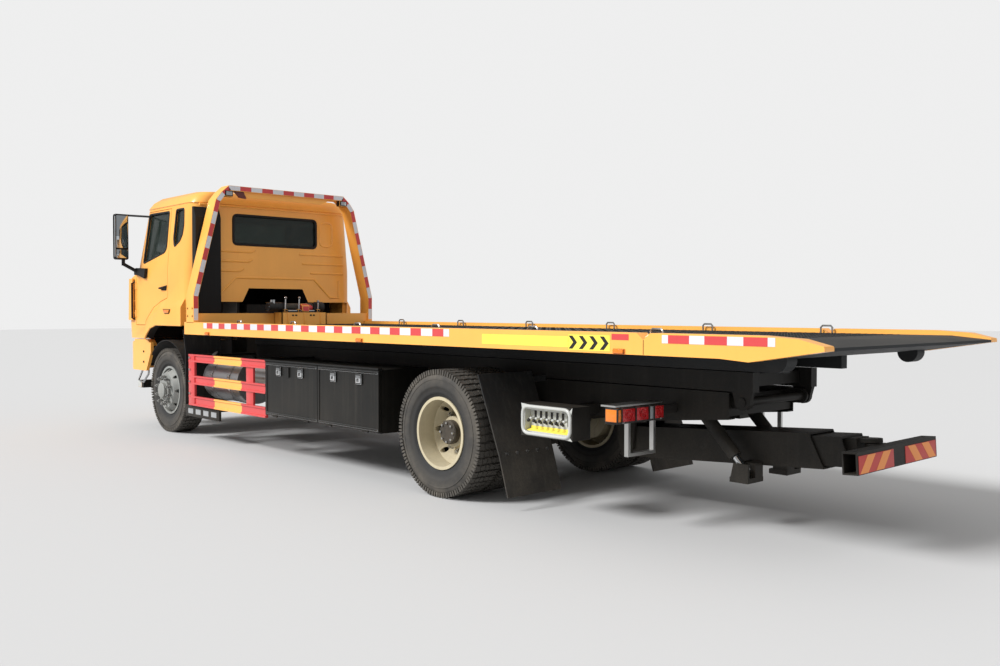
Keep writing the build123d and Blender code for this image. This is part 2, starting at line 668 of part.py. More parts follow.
def lever_panel():
    """The left control panel: a box with a recess and a row of levers."""
    x0 = REAR_AXLE_X - 1440
    x1 = REAR_AXLE_X - 920
    body = block(x0, x1, 960, 1150, 600, 840)
    recess = block(x0 + 40, x1 - 40, 1090, 1160, 640, 800)
    panel = body - recess
    for step in range(7):
        x = x0 + 90 + step * 56
        panel = panel + rod_y(x, 730, 1080, 1140, 6) + Pos(x, 1140, 730) * Sphere(13)
    arm = block(x1 - 140, x1 - 60, FRAME_HALF_WIDTH, 970, 720, 800)
    return panel + arm


# Cab

# height, front at the sides, half width, front corner radius, rear corner radius, inset of the rear wall
CAB_SECTIONS = (
    (CAB_BOTTOM, CAB_FRONT_X - 25, CAB_HALF_WIDTH, 200, 150, 0),
    (CAB_BOTTOM + 200, CAB_FRONT_X, CAB_HALF_WIDTH, 200, 150, 0),
    (SHOULDER_Z, CAB_FRONT_X - 25, CAB_HALF_WIDTH, 200, 150, 0),
    (BELT_Z, SCREEN_BASE_X + 15, CAB_HALF_WIDTH, 220, 150, 0),
    (ROOF_EDGE_Z - 40, SCREEN_TOP_X, CAB_HALF_WIDTH - 62, 200, 150, 0),
    (ROOF_EDGE_Z + 40, SCREEN_TOP_X - 60, CAB_HALF_WIDTH - 100, 180, 130, 30),
    (ROOF_TOP, SCREEN_TOP_X - 230, CAB_HALF_WIDTH - 300, 120, 100, 190),
)


def cab_section(row, inset):
    """The cab's plan outline at one height, inset from its outer face."""
    z, front, half, front_r, rear_r, rear_inset = row
    x1 = front - inset
    x0 = CAB_REAR_X + rear_inset + inset
    y = half - inset
    fr = front_r - inset
    rr = rear_r - inset
    edges = [
        ThreePointArc((x1, -y + fr, z), (x1 + NOSE_BULGE, 0, z), (x1, y - fr, z)),
        ThreePointArc((x1, y - fr, z), (x1 - fr + fr * math.sqrt(0.5), y - fr + fr * math.sqrt(0.5), z),
                      (x1 - fr, y, z)),
        Line((x1 - fr, y, z), (x0 + rr, y, z)),
        ThreePointArc((x0 + rr, y, z), (x0 + rr - rr * math.sqrt(0.5), y - rr + rr * math.sqrt(0.5), z),
                      (x0, y - rr, z)),
        Line((x0, y - rr, z), (x0, -y + rr, z)),
        ThreePointArc((x0, -y + rr, z), (x0 + rr - rr * math.sqrt(0.5), -y + rr - rr * math.sqrt(0.5), z),
                      (x0 + rr, -y, z)),
        Line((x0 + rr, -y, z), (x1 - fr, -y, z)),
        ThreePointArc((x1 - fr, -y, z), (x1 - fr + fr * math.sqrt(0.5), -y + fr - fr * math.sqrt(0.5), z),
                      (x1, -y + fr, z)),
    ]
    return make_face(edges)


def cab_form(inset):
    """The cab's closed outer form, inset all round."""
    rows = [list(row) for row in CAB_SECTIONS]
    rows[-1][0] -= inset
    rows[-2][0] -= inset * 0.8
    return loft([cab_section(row, inset) for row in rows], ruled=True)


def cab_x(ahead):
    """A place given ahead of the front axle."""
    return FRONT_AXLE_X + ahead


DOOR_OUTLINE = (
    (-330, 2790), (-230, 1760), (40, 1640), (360, 1330), (890, 1330), (875, 1985), (720, 2110), (545, 2790),
)
DOOR_WINDOW = ((-285, 2725), (-235, 2255), (0, 2170), (560, 2150), (430, 2725))
QUARTER_WINDOW = ((-690, 2725), (-650, 2420), (-520, 2300), (-430, 2320), (-480, 2725))


def side_cutter(points, side, shrink=0):
    """A cutter through one side wall, from points ahead of the front axle."""
    outline = [(cab_x(x), z) for x, z in points]
    y0, y1 = (700, 1400) if side > 0 else (-1400, -700)
    cutter = side_plate(outline, y0, y1)
    if shrink:
        face = make_face(Polyline([(x, y0, z) for x, z in outline], close=True))
        cutter = extrude(offset(face, -shrink), amount=y1 - y0, dir=(0, 1, 0))
    return cutter


def screen_cutter():
    """The windscreen's opening, seen from the front."""
    return cross_plate([(-1010, 2090), (1010, 2090), (960, 2750), (-960, 2750)], cab_x(450), cab_x(1300))


def rear_window_cutter():
    """The rear window's opening."""
    window = cross_plate([(-585, 2340), (585, 2340), (585, 2700), (-585, 2700)], CAB_REAR_X - 50, CAB_REAR_X + 200)
    return fillet(window.edges().filter_by(Axis.X), 50)


def tunnel(grow):
    """The space for the engine, open at the rear wall."""
    points = [(-470 - grow, 1100), (-470 - grow, 1620), (-380 - grow * 0.8, 1800 + grow),
              (380 + grow * 0.8, 1800 + grow), (470 + grow, 1620), (470 + grow, 1100)]
    return cross_plate(points, CAB_REAR_X - 50, cab_x(590) + grow)


def grille_cutter():
    """The grille's opening in the front panel."""
    return block(CAB_FRONT_X - 200, CAB_FRONT_X + 100, -GRILLE_HALF, GRILLE_HALF, GRILLE_LOW, GRILLE_HIGH)


def cab_shell():
    """The hollow cab: walls, roof and stepped floor, with its windows, doorways and arches cut."""
    inside = cab_form(CAB_WALL)
    step_x = cab_x(-200)
    rear_floor = CAB_FLOOR + REAR_FLOOR_RISE
    far = 3000
    upper = inside - block(CAB_REAR_X - far, far * 3, -far, far, 0, CAB_FLOOR)
    upper = upper - block(CAB_REAR_X - far, step_x, -far, far, 0, rear_floor)
    lower = inside & block(CAB_REAR_X - far, far * 3, -far, far, 0, rear_floor - CAB_FLOOR_THICK)
    lower = lower - block(step_x - CAB_FLOOR_THICK, far * 3, -far, far, CAB_FLOOR - CAB_FLOOR_THICK, far)
    shell = cab_form(0) - upper - lower
    shell = shell + (tunnel(CAB_WALL / 2) & cab_form(CAB_WALL / 2)) - tunnel(0)
    inner_half = CAB_HALF_WIDTH - CAB_WALL
    shell = shell - block(CAB_REAR_X - 50, CAB_REAR_X + CAB_WALL + 20, -inner_half, inner_half, 0,
                          rear_floor - CAB_FLOOR_THICK)
    arch = [(-900, 900), (-900, 1340), (-100, 1340), (340, 1160), (420, 900)]
    for side in (-1, 1):
        shell = shell - side_cutter(DOOR_OUTLINE, side) - side_cutter(QUARTER_WINDOW, side)
        shell = shell - side_cutter(arch, side)
        for low, high in DOOR_HINGE_SPANS:
            shell = shell - rod_z(DOOR_HINGE_X, side * DOOR_HINGE_Y, low - 4, high + 4, DOOR_HINGE_R + 8)
    shell = shell - screen_cutter() - rear_window_cutter() - grille_cutter()
    return shell


def door(side):
    """A door cut from the cab's wall, with its window open."""
    wall = cab_form(0) - cab_form(CAB_WALL)
    panel = (wall & side_cutter(DOOR_OUTLINE, side, PANEL_GAP)) - side_cutter(DOOR_WINDOW, side)
    for low, high in DOOR_HINGE_SPANS:
        panel = panel + rod_z(DOOR_HINGE_X, side * DOOR_HINGE_Y, low, high, DOOR_HINGE_R)
        panel = panel + block(DOOR_HINGE_X - 60, DOOR_HINGE_X, side * (CAB_HALF_WIDTH - 8), side * DOOR_HINGE_Y,
                              low, high)
    return panel


def glass_layer():
    """The layer of the cab's form that its glass lies in."""
    return cab_form(GLASS_INSET) - cab_form(GLASS_INSET + GLASS_THICK)


def cab_glass():
    """The windscreen, rear window and quarter windows."""
    layer = glass_layer()
    panes = [layer & screen_cutter(), layer & rear_window_cutter()]
    for side in (-1, 1):
        panes.append(layer & side_cutter(QUARTER_WINDOW, side))
    return Compound(panes)


def door_glass(side):
    """One door's pane."""
    return glass_layer() & side_cutter(DOOR_WINDOW, side)


def door_mirror(side):
    """A door mirror: two heads in one tall housing on an arm from the door."""
    x = cab_x(850)
    head = block(x - 45, x + 45, 1270, 1450, 2180, 2770)
    head = fillet(head.edges().filter_by(Axis.X), 30)
    foot = block(cab_x(640), cab_x(730), CAB_HALF_WIDTH, CAB_HALF_WIDTH + 45, 1955, 2030)
    arm = rod_between((cab_x(690), CAB_HALF_WIDTH + 30, 2000), (x, 1330, 2110), 22)
    post = rod_z(x, 1330, 2090, 2200, 22)
    whole = joined([head, foot, arm, post])
    return whole if side > 0 else mirrored(whole)


def cab_grille():
    """The black grille insert across the cab's front, with its slats."""
    x = CAB_FRONT_X
    low, high, half = GRILLE_LOW, GRILLE_HIGH, GRILLE_HALF
    lattice = block(x - 200, x + 60, -half, half, low, high)
    pitch = (high - low - 20) / GRILLE_SLATS
    for step in range(GRILLE_SLATS):
        z = low + 20 + pitch * step
        for y0, y1 in ((-half + 20, -12), (12, half - 20)):
            lattice = lattice - block(x - 210, x + 70, y0, y1, z, z + pitch - 26)
    return (cab_form(8) - cab_form(40)) & lattice


def sun_visor():
    """A tinted visor over the windscreen, on the roof's front edge."""
    layer = cab_form(-110) - cab_form(-98)
    blade = layer & block(SCREEN_TOP_X - 20, SCREEN_TOP_X + 300, -960, 960, 2735, 2850)
    pieces = [blade]
    for y, reach in ((-700, 125), (0, 154), (700, 125)):
        pieces.append(block(SCREEN_TOP_X + 10, SCREEN_TOP_X + reach, y - 15, y + 15, 2790, 2820))
    return joined(pieces) - cab_form(0)


def intake_duct():
    """The raised air intake behind the cab's left side."""
    x1 = CAB_REAR_X - 14
    x0 = x1 - DUCT_DEPTH
    duct = block(x0, x1, 800, 1120, 1500, 2640)
    head = side_plate([(x0, 2640), (x1, 2640), (x1, 2760), (x0 + 50, 2760)], 800, 1120)
    stay = block(x1 - 10, CAB_REAR_X, 900, 990, 1800, 1860)
    stay_high = block(x1 - 10, CAB_REAR_X, 900, 990, 2400, 2460)
    return joined([duct, head, stay, stay_high])


def cab_seats():
    """Two seats with their bases."""
    seats = []
    for y in (-740, 740):
        base = block(cab_x(-120), cab_x(300), y - 200, y + 200, CAB_FLOOR, CAB_FLOOR + 290)
        cushion = block(cab_x(-150), cab_x(360), y - 250, y + 250, CAB_FLOOR + 285, CAB_FLOOR + 420)
        cushion = fillet(cushion.edges(), 40)
        back = side_plate([
            (cab_x(-160), CAB_FLOOR + 380), (cab_x(-40), CAB_FLOOR + 380), (cab_x(-90), CAB_FLOOR + 1050),
            (cab_x(-180), CAB_FLOOR + 1050)], y - 240, y + 240)
        back = fillet(back.edges(), 35)
        seats.append(joined([base, cushion, back]))
    return Compound(seats)


def dashboard():
    """The dashboard with the steering column and wheel on the left."""
    body = side_plate([
        (cab_x(660), 1990), (cab_x(720), 2065), (cab_x(880), 2065), (cab_x(1130), 1900), (cab_x(1150), 1640),
        (cab_x(800), 1640)], -1060, 1060)
    body = body & cab_form(CAB_WALL)
    column = rod_between((cab_x(820), 740, 1800), (cab_x(545), 740, 2022), 28)
    tilt = Plane(origin=(cab_x(545), 740, 2022), z_dir=(-0.78, 0, 0.63))
    ring = tilt * Torus(215, 16)
    spokes = tilt * Box(420, 40, 14) + tilt * Box(40, 420, 14)
    return joined([body, column, ring, spokes])


# Bed


def tilt_frame():
    """The tilting subframe: two box rails with cross members, hinged at the chassis tail."""
    front = DECK_FRONT_X - 60
    rear = HINGE_X - 90
    y0 = FRAME_HALF_WIDTH - FRAME_FLANGE
    y1 = FRAME_HALF_WIDTH
    pieces = []
    for side in (-1, 1):
        pieces.append(block(rear, front, min(side * y0, side * y1), max(side * y0, side * y1),
                            TILT_RAIL_BOTTOM, TILT_RAIL_TOP))
        inner = side * (y0 + 34)
        outer = side * (y0 + 70)
        lug = side_plate([(HINGE_X - 60, HINGE_Z), (HINGE_X + 60, HINGE_Z), (HINGE_X + 80, TILT_RAIL_BOTTOM + 5),
                          (HINGE_X - 80, TILT_RAIL_BOTTOM + 5)], min(inner, outer), max(inner, outer))
        lug = lug + rod_y(HINGE_X, HINGE_Z, min(inner, outer), max(inner, outer), 60)
        lug = lug - rod_y(HINGE_X, HINGE_Z, min(inner, outer) - 5, max(inner, outer) + 5,
                          HINGE_PIN_R + RUNNING_GAP)
        pieces.append(lug)
    # station ahead of the rear axle of each cross member
    for station in (4200, 3200, 2200, 1200, 200, -400, TILT_EYE_X - REAR_AXLE_X - 130, -1450, -2300):
        x = REAR_AXLE_X + station
        pieces.append(block(x - 40, x + 40, -y0 - 1, y0 + 1, TILT_RAIL_BOTTOM + 30, TILT_RAIL_TOP - 20))
    for y in (-TILT_CYL_Y, TILT_CYL_Y):
        for side in (-1, 1):
            inner = y + side * (EYE_WIDTH / 2 + LUG_GAP)
            outer = inner + side * LUG_THICK
            y0, y1 = min(inner, outer), max(inner, outer)
            pieces.append(side_plate([
                (TILT_EYE_X - 95, TILT_EYE_Z - EYE_R), (TILT_EYE_X, TILT_EYE_Z - EYE_R),
                (TILT_EYE_X, TILT_EYE_Z + EYE_R), (TILT_EYE_X - 95, TILT_EYE_Z + EYE_R)], y0, y1))
            pieces.append(rod_y(TILT_EYE_X, TILT_EYE_Z, y0, y1, EYE_R))
    return joined(pieces)


def slide_barrel():
    """The barrel of the long cylinder that slides the bed, on two feet on the tilt frame."""
    z = SLIDE_CYL_Z
    barrel = rod_x(0, z, SLIDE_BARREL_X, SLIDE_BARREL_X + SLIDE_BARREL_LENGTH, SLIDE_BARREL_R)
    for x in (SLIDE_BARREL_X + 20, SLIDE_BARREL_X + SLIDE_BARREL_LENGTH - 20):
        barrel = barrel + block(x - 20, x + 20, -30, 30, TILT_RAIL_TOP - 20, z)
    return barrel - rod_x(0, z, SLIDE_BARREL_X - 5, SLIDE_BARREL_X + SLIDE_BARREL_LENGTH - 60, SLIDE_ROD_R + 6)


def slide_rod():
    """The rod of the slide cylinder, with its eye under the bed."""
    front = SLIDE_BARREL_X + SLIDE_BARREL_LENGTH - 90
    return rod_x(0, SLIDE_CYL_Z, SLIDE_LUG_X + 25, front, SLIDE_ROD_R)


def side_rail():
    """The left side rail: a channel with a notch, tapered at the tail."""
    notch = 55
    outline = [
        (RAIL_FRONT_X, RAIL_BOTTOM), (RAIL_FRONT_X, RAIL_TOP), (NOTCH_X + notch, RAIL_TOP),
        (NOTCH_X, RAIL_TOP - 45), (NOTCH_X - notch, RAIL_TOP), (TAIL_TOP_X + 250, RAIL_TOP),
        (TAIL_TOP_X, RAIL_TOP - 15), (TAIL_X + 4, RAIL_TOP - 52), (TAIL_X, RAIL_TOP - 62),
        (TAIL_X, RAIL_TOP - 80), (TAIL_LOW_X, RAIL_BOTTOM - 14), (TAIL_LOW_X + 200, RAIL_BOTTOM),
    ]
    rail = side_plate(outline, DECK_HALF_WIDTH, BED_HALF_WIDTH)
    pocket = block(NOTCH_X + notch + 20, RAIL_FRONT_X + 5, DECK_HALF_WIDTH - 5, BED_HALF_WIDTH - RAIL_WALL,
                   RAIL_BOTTOM + RAIL_WALL, DECK_TOP - DECK_THICK)
    return rail - pocket


def bed_deck():
    """The deck plate on cross beams and runners, with the tail wedge and its rollers."""
    plate = block(TAIL_LOW_X, DECK_FRONT_X, -DECK_HALF_WIDTH, DECK_HALF_WIDTH, CROSS_BEAM_TOP, DECK_TOP)
    tail = side_plate([
        (TAIL_LOW_X + 300, DECK_TOP), (TAIL_TOP_X + 120, DECK_TOP), (TAIL_X, RAIL_TOP - 62),
        (TAIL_X, RAIL_TOP - 80), (TAIL_LOW_X, RAIL_BOTTOM - 10), (TAIL_LOW_X + 300, RAIL_BOTTOM)],
        -DECK_HALF_WIDTH, DECK_HALF_WIDTH)
    pieces = [plate, tail]
    front = DECK_FRONT_X - 20
    rear = TAIL_LOW_X + 250
    y0 = FRAME_HALF_WIDTH - FRAME_FLANGE
    for side in (-1, 1):
        low = min(side * y0, side * FRAME_HALF_WIDTH)
        pieces.append(block(rear, front, low, low + FRAME_FLANGE, RUNNER_BOTTOM, CROSS_BEAM_TOP + 2))
    count = 13
    for step in range(count):
        x = rear + 60 + (front - rear - 120) * step / (count - 1)
        pieces.append(block(x - 30, x + 30, -DECK_HALF_WIDTH, DECK_HALF_WIDTH, RAIL_BOTTOM + 6, CROSS_BEAM_TOP + 2))
    for y in (-900, 900):
        pieces.append(rod_y(ROLLER_X, RAIL_BOTTOM - 13, y - 60, y + 60, ROLLER_R))
    pieces.append(block(SLIDE_LUG_X - 25, SLIDE_LUG_X + 25, -36, 36, SLIDE_CYL_Z - 36, CROSS_BEAM_TOP + 2))
    return joined(pieces)


def hoop():
    """The hoop with its headboard and winch box, on the side rails."""
    z0 = RAIL_TOP
    outer = [
        (-BED_HALF_WIDTH, z0), (-HOOP_TOP_HALF - 90, HOOP_TOP - 75), (-HOOP_TOP_HALF, HOOP_TOP),
        (HOOP_TOP_HALF, HOOP_TOP), (HOOP_TOP_HALF + 90, HOOP_TOP - 75), (BED_HALF_WIDTH, z0),
    ]
    width = HOOP_WIDTH
    inner = [
        (-BED_HALF_WIDTH + width, z0 - 5), (-HOOP_TOP_HALF - 90 + width, HOOP_TOP - 75 - 30),
        (-HOOP_TOP_HALF + 50, HOOP_TOP - HOOP_BAR), (HOOP_TOP_HALF - 50, HOOP_TOP - HOOP_BAR),
        (HOOP_TOP_HALF + 90 - width, HOOP_TOP - 75 - 30), (BED_HALF_WIDTH - width, z0 - 5),
    ]
    x0 = HOOP_REAR_X
    x1 = HOOP_REAR_X + HOOP_DEPTH
    frame = cross_plate(outer, x0, x1) - cross_plate(inner, x0 - 5, x1 + 5)
    board = block(HOOP_X - 12, HOOP_X + 12, -DECK_HALF_WIDTH, DECK_HALF_WIDTH, DECK_TOP, HEADBOARD_TOP)
    visor = cross_plate([
        (-460, HOOP_TOP - 60), (630, HOOP_TOP - 60), (560, HOOP_TOP - 130), (-390, HOOP_TOP - 130)],
        HOOP_X - 8, HOOP_X + 8)
    box = block(HOOP_X - 190, HOOP_X, -450, 190, DECK_TOP, HEADBOARD_TOP + 10)
    box = box - block(HOOP_X - 182, HOOP_X - 20, -435, 175, DECK_TOP + 8, HEADBOARD_TOP + 20)
    return joined([frame, board, visor, box])


def winch():
    """The winch's two end housings and motor, on a base over the winch box."""
    z = HEADBOARD_TOP + WINCH_RISE
    x = HOOP_X - 95
    base = block(x - 85, x + 65, -330, 140, HEADBOARD_TOP + 10, HEADBOARD_TOP + 22)
    left = block(x - 60, x + 60, 100, 140, HEADBOARD_TOP + 10, z + 55)
    right = block(x - 60, x + 60, -330, -290, HEADBOARD_TOP + 10, z + 55)
    motor = rod_y(x, z, 138, 330, 55)
    gearbox = rod_y(x, z, -440, -328, 62)
    shaft = rod_y(x, z, -300, 110, 18)
    return joined([base, left, right, motor, gearbox, shaft])


def winch_drum():
    """The winch drum between its housings, wound with rope."""
    z = HEADBOARD_TOP + WINCH_RISE
    x = HOOP_X - 95
    core = rod_y(x, z, -278, 88, 34)
    flanges = rod_y(x, z, -282, -270, 48) + rod_y(x, z, 80, 92, 48)
    return core + flanges - rod_y(x, z, -400, 200, 18 + RUNNING_GAP)


# Wheel lift


def pitched(shape):
    """Wheel lift pieces are drawn level behind the pivot, then raised at the tail."""
    return Pos(LIFT_PIVOT_X, 0, LIFT_PIVOT_Z) * Rot(0, LIFT_PITCH, 0) * shape


def lift_boom():
    """The outer boom: a box tube with a slanted mouth, cylinder lugs and a pivot block."""
    half = BOOM_HALF_WIDTH
    low, high = -BOOM_HEIGHT / 2, BOOM_HEIGHT / 2
    outline = [(90, low), (90, high), (-BOOM_LENGTH + 50, high), (-BOOM_LENGTH - 50, low)]
    tube = side_plate(outline, -half, half)
    hollow = block(-BOOM_LENGTH - 100, -150, -half + BOOM_WALL, half - BOOM_WALL, low + BOOM_WALL, high - BOOM_WALL)
    boom = tube - hollow - rod_y(0, 0, -half - 5, half + 5, LIFT_PIN_R + RUNNING_GAP)
    boom = pitched(boom)
    pieces = [boom]
    for side in (-1, 1):
        inner = LIFT_CYL_Y - EYE_WIDTH / 2 - LUG_GAP
        outer = LIFT_CYL_Y + EYE_WIDTH / 2 + LUG_GAP
        shape = [(LIFT_EYE_X - 60, LIFT_EYE_Z - 95), (LIFT_EYE_X + 90, LIFT_EYE_Z - 95),
                 (LIFT_EYE_X + 60, LIFT_EYE_Z + 40), (LIFT_EYE_X - 60, LIFT_EYE_Z + 40)]
        near = side_plate(shape, inner - LUG_THICK, inner)
        far = side_plate(shape, outer, outer + LUG_THICK)
        foot = block(LIFT_EYE_X - 60, LIFT_EYE_X + 90, half - 10, outer + LUG_THICK, LIFT_EYE_Z - 95,
                     LIFT_EYE_Z - 60)
        web = block(LIFT_EYE_X - 60, LIFT_EYE_X + 60, half - 5, inner - LUG_THICK + 2, LIFT_EYE_Z - 90,
                    LIFT_EYE_Z + 40)
        for piece in (near, far, foot, web):
            pieces.append(piece if side > 0 else mirrored(piece))
    return joined(pieces)


def lift_tube():
    """The inner tube that slides out of the boom, with the crossbar's pivot head."""
    half = BOOM_HALF_WIDTH - BOOM_WALL - TUBE_GAP
    low = -BOOM_HEIGHT / 2 + BOOM_WALL + TUBE_GAP
    high = -low
    rear = -BOOM_LENGTH - TUBE_OUT
    front = -BOOM_LENGTH + TUBE_TAIL
    tube = side_plate([(front, low), (front, high), (rear + 30, high), (rear - 30, low)], -half, half)
    tube = tube - block(rear - 50, front + 5, -half + 12, half - 12, low + 12, high - 12)
    neck = block(SWIVEL_BACK + 72, rear + 200, -90, 90, low + 12, high - 12)
    pieces = [tube, neck, rod_z(SWIVEL_BACK, 0, SWIVEL_LOW, SWIVEL_HIGH, SWIVEL_PIN_R)]
    for z0, z1 in ((SWIVEL_LOW, SWIVEL_LOW + 26), (SWIVEL_HIGH - 26, SWIVEL_HIGH)):
        pieces.append(block(SWIVEL_BACK, SWIVEL_BACK + 90, -60, 60, z0, z1))
        pieces.append(rod_z(SWIVEL_BACK, 0, z0, z1, 60))
    return pitched(joined(pieces))


def crossbar():
    """The open-ended crossbar that carries the lifted wheels, with its swivel lug and pin holes."""
    front = SWIVEL_BACK - 70
    x = front - CROSSBAR_DEPTH / 2
    z = CROSSBAR_DROP
    bar = block(x - CROSSBAR_DEPTH / 2, front, -CROSSBAR_HALF, CROSSBAR_HALF,
                z - CROSSBAR_HEIGHT / 2, z + CROSSBAR_HEIGHT / 2)
    hollow = block(x - CROSSBAR_DEPTH / 2 + CROSSBAR_WALL, front - CROSSBAR_WALL,
                   -CROSSBAR_HALF - 5, CROSSBAR_HALF + 5,
                   z - CROSSBAR_HEIGHT / 2 + CROSSBAR_WALL, z + CROSSBAR_HEIGHT / 2 - CROSSBAR_WALL)
    low, high = SWIVEL_LOW + 32, SWIVEL_HIGH - 32
    lug = block(front - 5, SWIVEL_BACK, -55, 55, low, high) + rod_z(SWIVEL_BACK, 0, low, high, 55)
    bar = (bar + lug) - hollow - rod_z(SWIVEL_BACK, 0, low - 5, high + 5, SWIVEL_PIN_R + RUNNING_GAP)
    for y in (-FORK_PIN_Y, FORK_PIN_Y):
        bar = bar - rod_z(x, y, z - CROSSBAR_HEIGHT, z + CROSSBAR_HEIGHT, FORK_PIN_R)
    return pitched(bar)


def cylinder_pair(base, eye, y, barrel_r, rod_r, barrel_share):
    """Barrels and rods of a left and right cylinder between a base pin and a rod eye."""
    (bx, bz), (ex, ez) = base, eye
    length = math.hypot(ex - bx, ez - bz)
    ux, uz = (ex - bx) / length, (ez - bz) / length
    barrel_end = length * barrel_share

    def at(distance):
        return (bx + ux * distance, y, bz + uz * distance)

    barrel = rod_between(at(EYE_R + 8), at(barrel_end), barrel_r)
    barrel = barrel + rod_between(at(EYE_R / 2), at(EYE_R + 20), EYE_WIDTH / 2)
    barrel = barrel + rod_y(bx, bz, y - EYE_WIDTH / 2, y + EYE_WIDTH / 2, EYE_R)
    barrel = barrel - rod_y(bx, bz, y - EYE_WIDTH, y + EYE_WIDTH, PIN_R + RUNNING_GAP)
    bore_start = 120
    barrel = barrel - rod_between(at(bore_start), at(barrel_end + 5), rod_r + 6)
    rod = rod_between(at(bore_start + 20), at(length - 20), rod_r)
    rod = rod + rod_y(ex, ez, y - EYE_WIDTH / 2, y + EYE_WIDTH / 2, EYE_R)
    return both_sides(barrel), both_sides(rod)


def build():
    """Every piece by its name."""
    tilt_barrels, tilt_rods = cylinder_pair(
        (TILT_BASE_X, TILT_BASE_Z), (TILT_EYE_X, TILT_EYE_Z), TILT_CYL_Y, TILT_BARREL_R, TILT_ROD_R,
        TILT_BARREL_SHARE)
    lift_barrels, lift_rods = cylinder_pair(
        (LIFT_TOP_X, LIFT_TOP_Z), (LIFT_EYE_X, LIFT_EYE_Z), LIFT_CYL_Y, LIFT_BARREL_R, LIFT_ROD_R,
        LIFT_BARREL_SHARE)
    left_tyre = tyre(FRONT_TYRE_Y, FRONT_AXLE_X)
    rear_tyres = Compound([tyre(REAR_TYRE_Y, REAR_AXLE_X), tyre(REAR_TYRE_Y - DUAL_SPACING, REAR_AXLE_X)])
    left_rim = front_rim()
    rims = rear_rims()
    left_knuckle = knuckle()
    pieces = {
        "chassis_frame": chassis_frame(),
        "front_axle": front_axle(),
        "rear_axle": rear_axle(),
        "leaf_springs": leaf_springs(),
        "engine_block": engine_block(),
        "exhaust_box": exhaust_box(),
        "tanks": tanks(),
        "side_guards": both_sides(side_guard()),
        "tool_boxes": both_sides(tool_box()),
        "mudguards": mudguards(),
        "front_bumper": front_bumper(),
        "headlamps": headlamps(),
        "tail_lamps": tail_lamps(),
        "lever_panels": both_sides(lever_panel()),
        "cab_shell": cab_shell(),
        "cab_glass": cab_glass(),
        "cab_grille": cab_grille(),
        "sun_visor": sun_visor(),
        "intake_duct": intake_duct(),
        "cab_seats": cab_seats(),
        "dashboard": dashboard(),
        "knuckle_left": left_knuckle,
        "knuckle_right": mirrored(left_knuckle),
        "front_rim_left": left_rim,
        "front_rim_right": mirrored(left_rim),
        "front_tyre_left": left_tyre,
        "front_tyre_right": mirrored(left_tyre),
        "rear_rims_left": rims,
        "rear_rims_right": mirrored(rims),
        "rear_tyres_left": rear_tyres,
        "rear_tyres_right": mirrored(rear_tyres),
        "tilt_frame": tilt_frame(),
        "slide_barrel": slide_barrel(),
        "slide_rod": slide_rod(),
        "bed_deck": bed_deck(),
        "side_rails": both_sides(side_rail()),
        "hoop": hoop(),
        "winch": winch(),
        "winch_drum": winch_drum(),
        "tilt_barrels": tilt_barrels,
        "tilt_rods": tilt_rods,
        "lift_boom": lift_boom(),
        "lift_tube": lift_tube(),
        "crossbar": crossbar(),
        "lift_barrels": lift_barrels,
        "lift_rods": lift_rods,
    }
    for name, side in (("left", 1), ("right", -1)):
        pieces["door_" + name] = door(side)
        pieces["door_glass_" + name] = door_glass(side)
        pieces["mirror_" + name] = door_mirror(side)
        for index, place in enumerate(("rear", "front")):
            panel = tool_box_door(index)
            pieces["box_door_" + name + "_" + place] = panel if side > 0 else mirrored(panel)
    return pieces


os.makedirs("parts", exist_ok=True)
for node, shape in build().items():
    export_step(shape, os.path.join("parts", node + ".step"))
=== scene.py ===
import json
import math
import random

import bmesh
import bpy
from mathutils import Matrix, Vector


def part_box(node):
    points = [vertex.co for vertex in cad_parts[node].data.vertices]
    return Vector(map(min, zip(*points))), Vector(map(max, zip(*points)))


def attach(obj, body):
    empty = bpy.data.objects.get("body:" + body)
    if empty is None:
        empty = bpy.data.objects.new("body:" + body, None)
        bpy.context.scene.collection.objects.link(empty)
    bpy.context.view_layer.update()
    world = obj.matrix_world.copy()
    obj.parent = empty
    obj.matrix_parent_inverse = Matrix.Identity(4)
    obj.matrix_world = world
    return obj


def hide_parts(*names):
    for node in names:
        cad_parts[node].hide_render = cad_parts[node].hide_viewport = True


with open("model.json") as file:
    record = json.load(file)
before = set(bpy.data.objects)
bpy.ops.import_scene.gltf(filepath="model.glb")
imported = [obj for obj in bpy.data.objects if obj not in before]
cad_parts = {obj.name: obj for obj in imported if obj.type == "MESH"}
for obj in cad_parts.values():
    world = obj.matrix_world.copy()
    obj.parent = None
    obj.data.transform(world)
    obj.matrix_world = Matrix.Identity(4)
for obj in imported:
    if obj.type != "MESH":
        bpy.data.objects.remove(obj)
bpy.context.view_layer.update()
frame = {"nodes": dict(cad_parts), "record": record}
NODES = frame["nodes"]
SIDES = (("left", 1), ("right", -1))


# Places read from the frame, in metres: X forward, Y left, Z up


def middle(node):
    """The middle of a solid's box."""
    low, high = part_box(node)
    return (low + high) / 2


REAR_AXLE = middle("rear_tyres_left")
FRONT_AXLE = middle("front_tyre_left")
REAR_X, FRONT_X = REAR_AXLE.x, FRONT_AXLE.x
RAIL_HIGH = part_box("side_rails")[1]
DECK_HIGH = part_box("bed_deck")[1]
HOOP_LOW, HOOP_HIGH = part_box("hoop")
CAB_LOW, CAB_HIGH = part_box("cab_shell")
TYRE_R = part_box("front_tyre_left")[1].z / 2
DECK_PLATE_Z = RAIL_HIGH.z - 0.036
TAIL_FLAT_X = REAR_X - 2.75

# Camera, at the photograph's viewing angle
CAMERA_PLACE = (-7.646, 6.011, 1.531)
CAMERA_YAW = math.radians(-42.678)
CAMERA_PITCH = math.radians(-1.392)
CAMERA_ROLL = 0.0014
CAMERA_LENS = 33.77

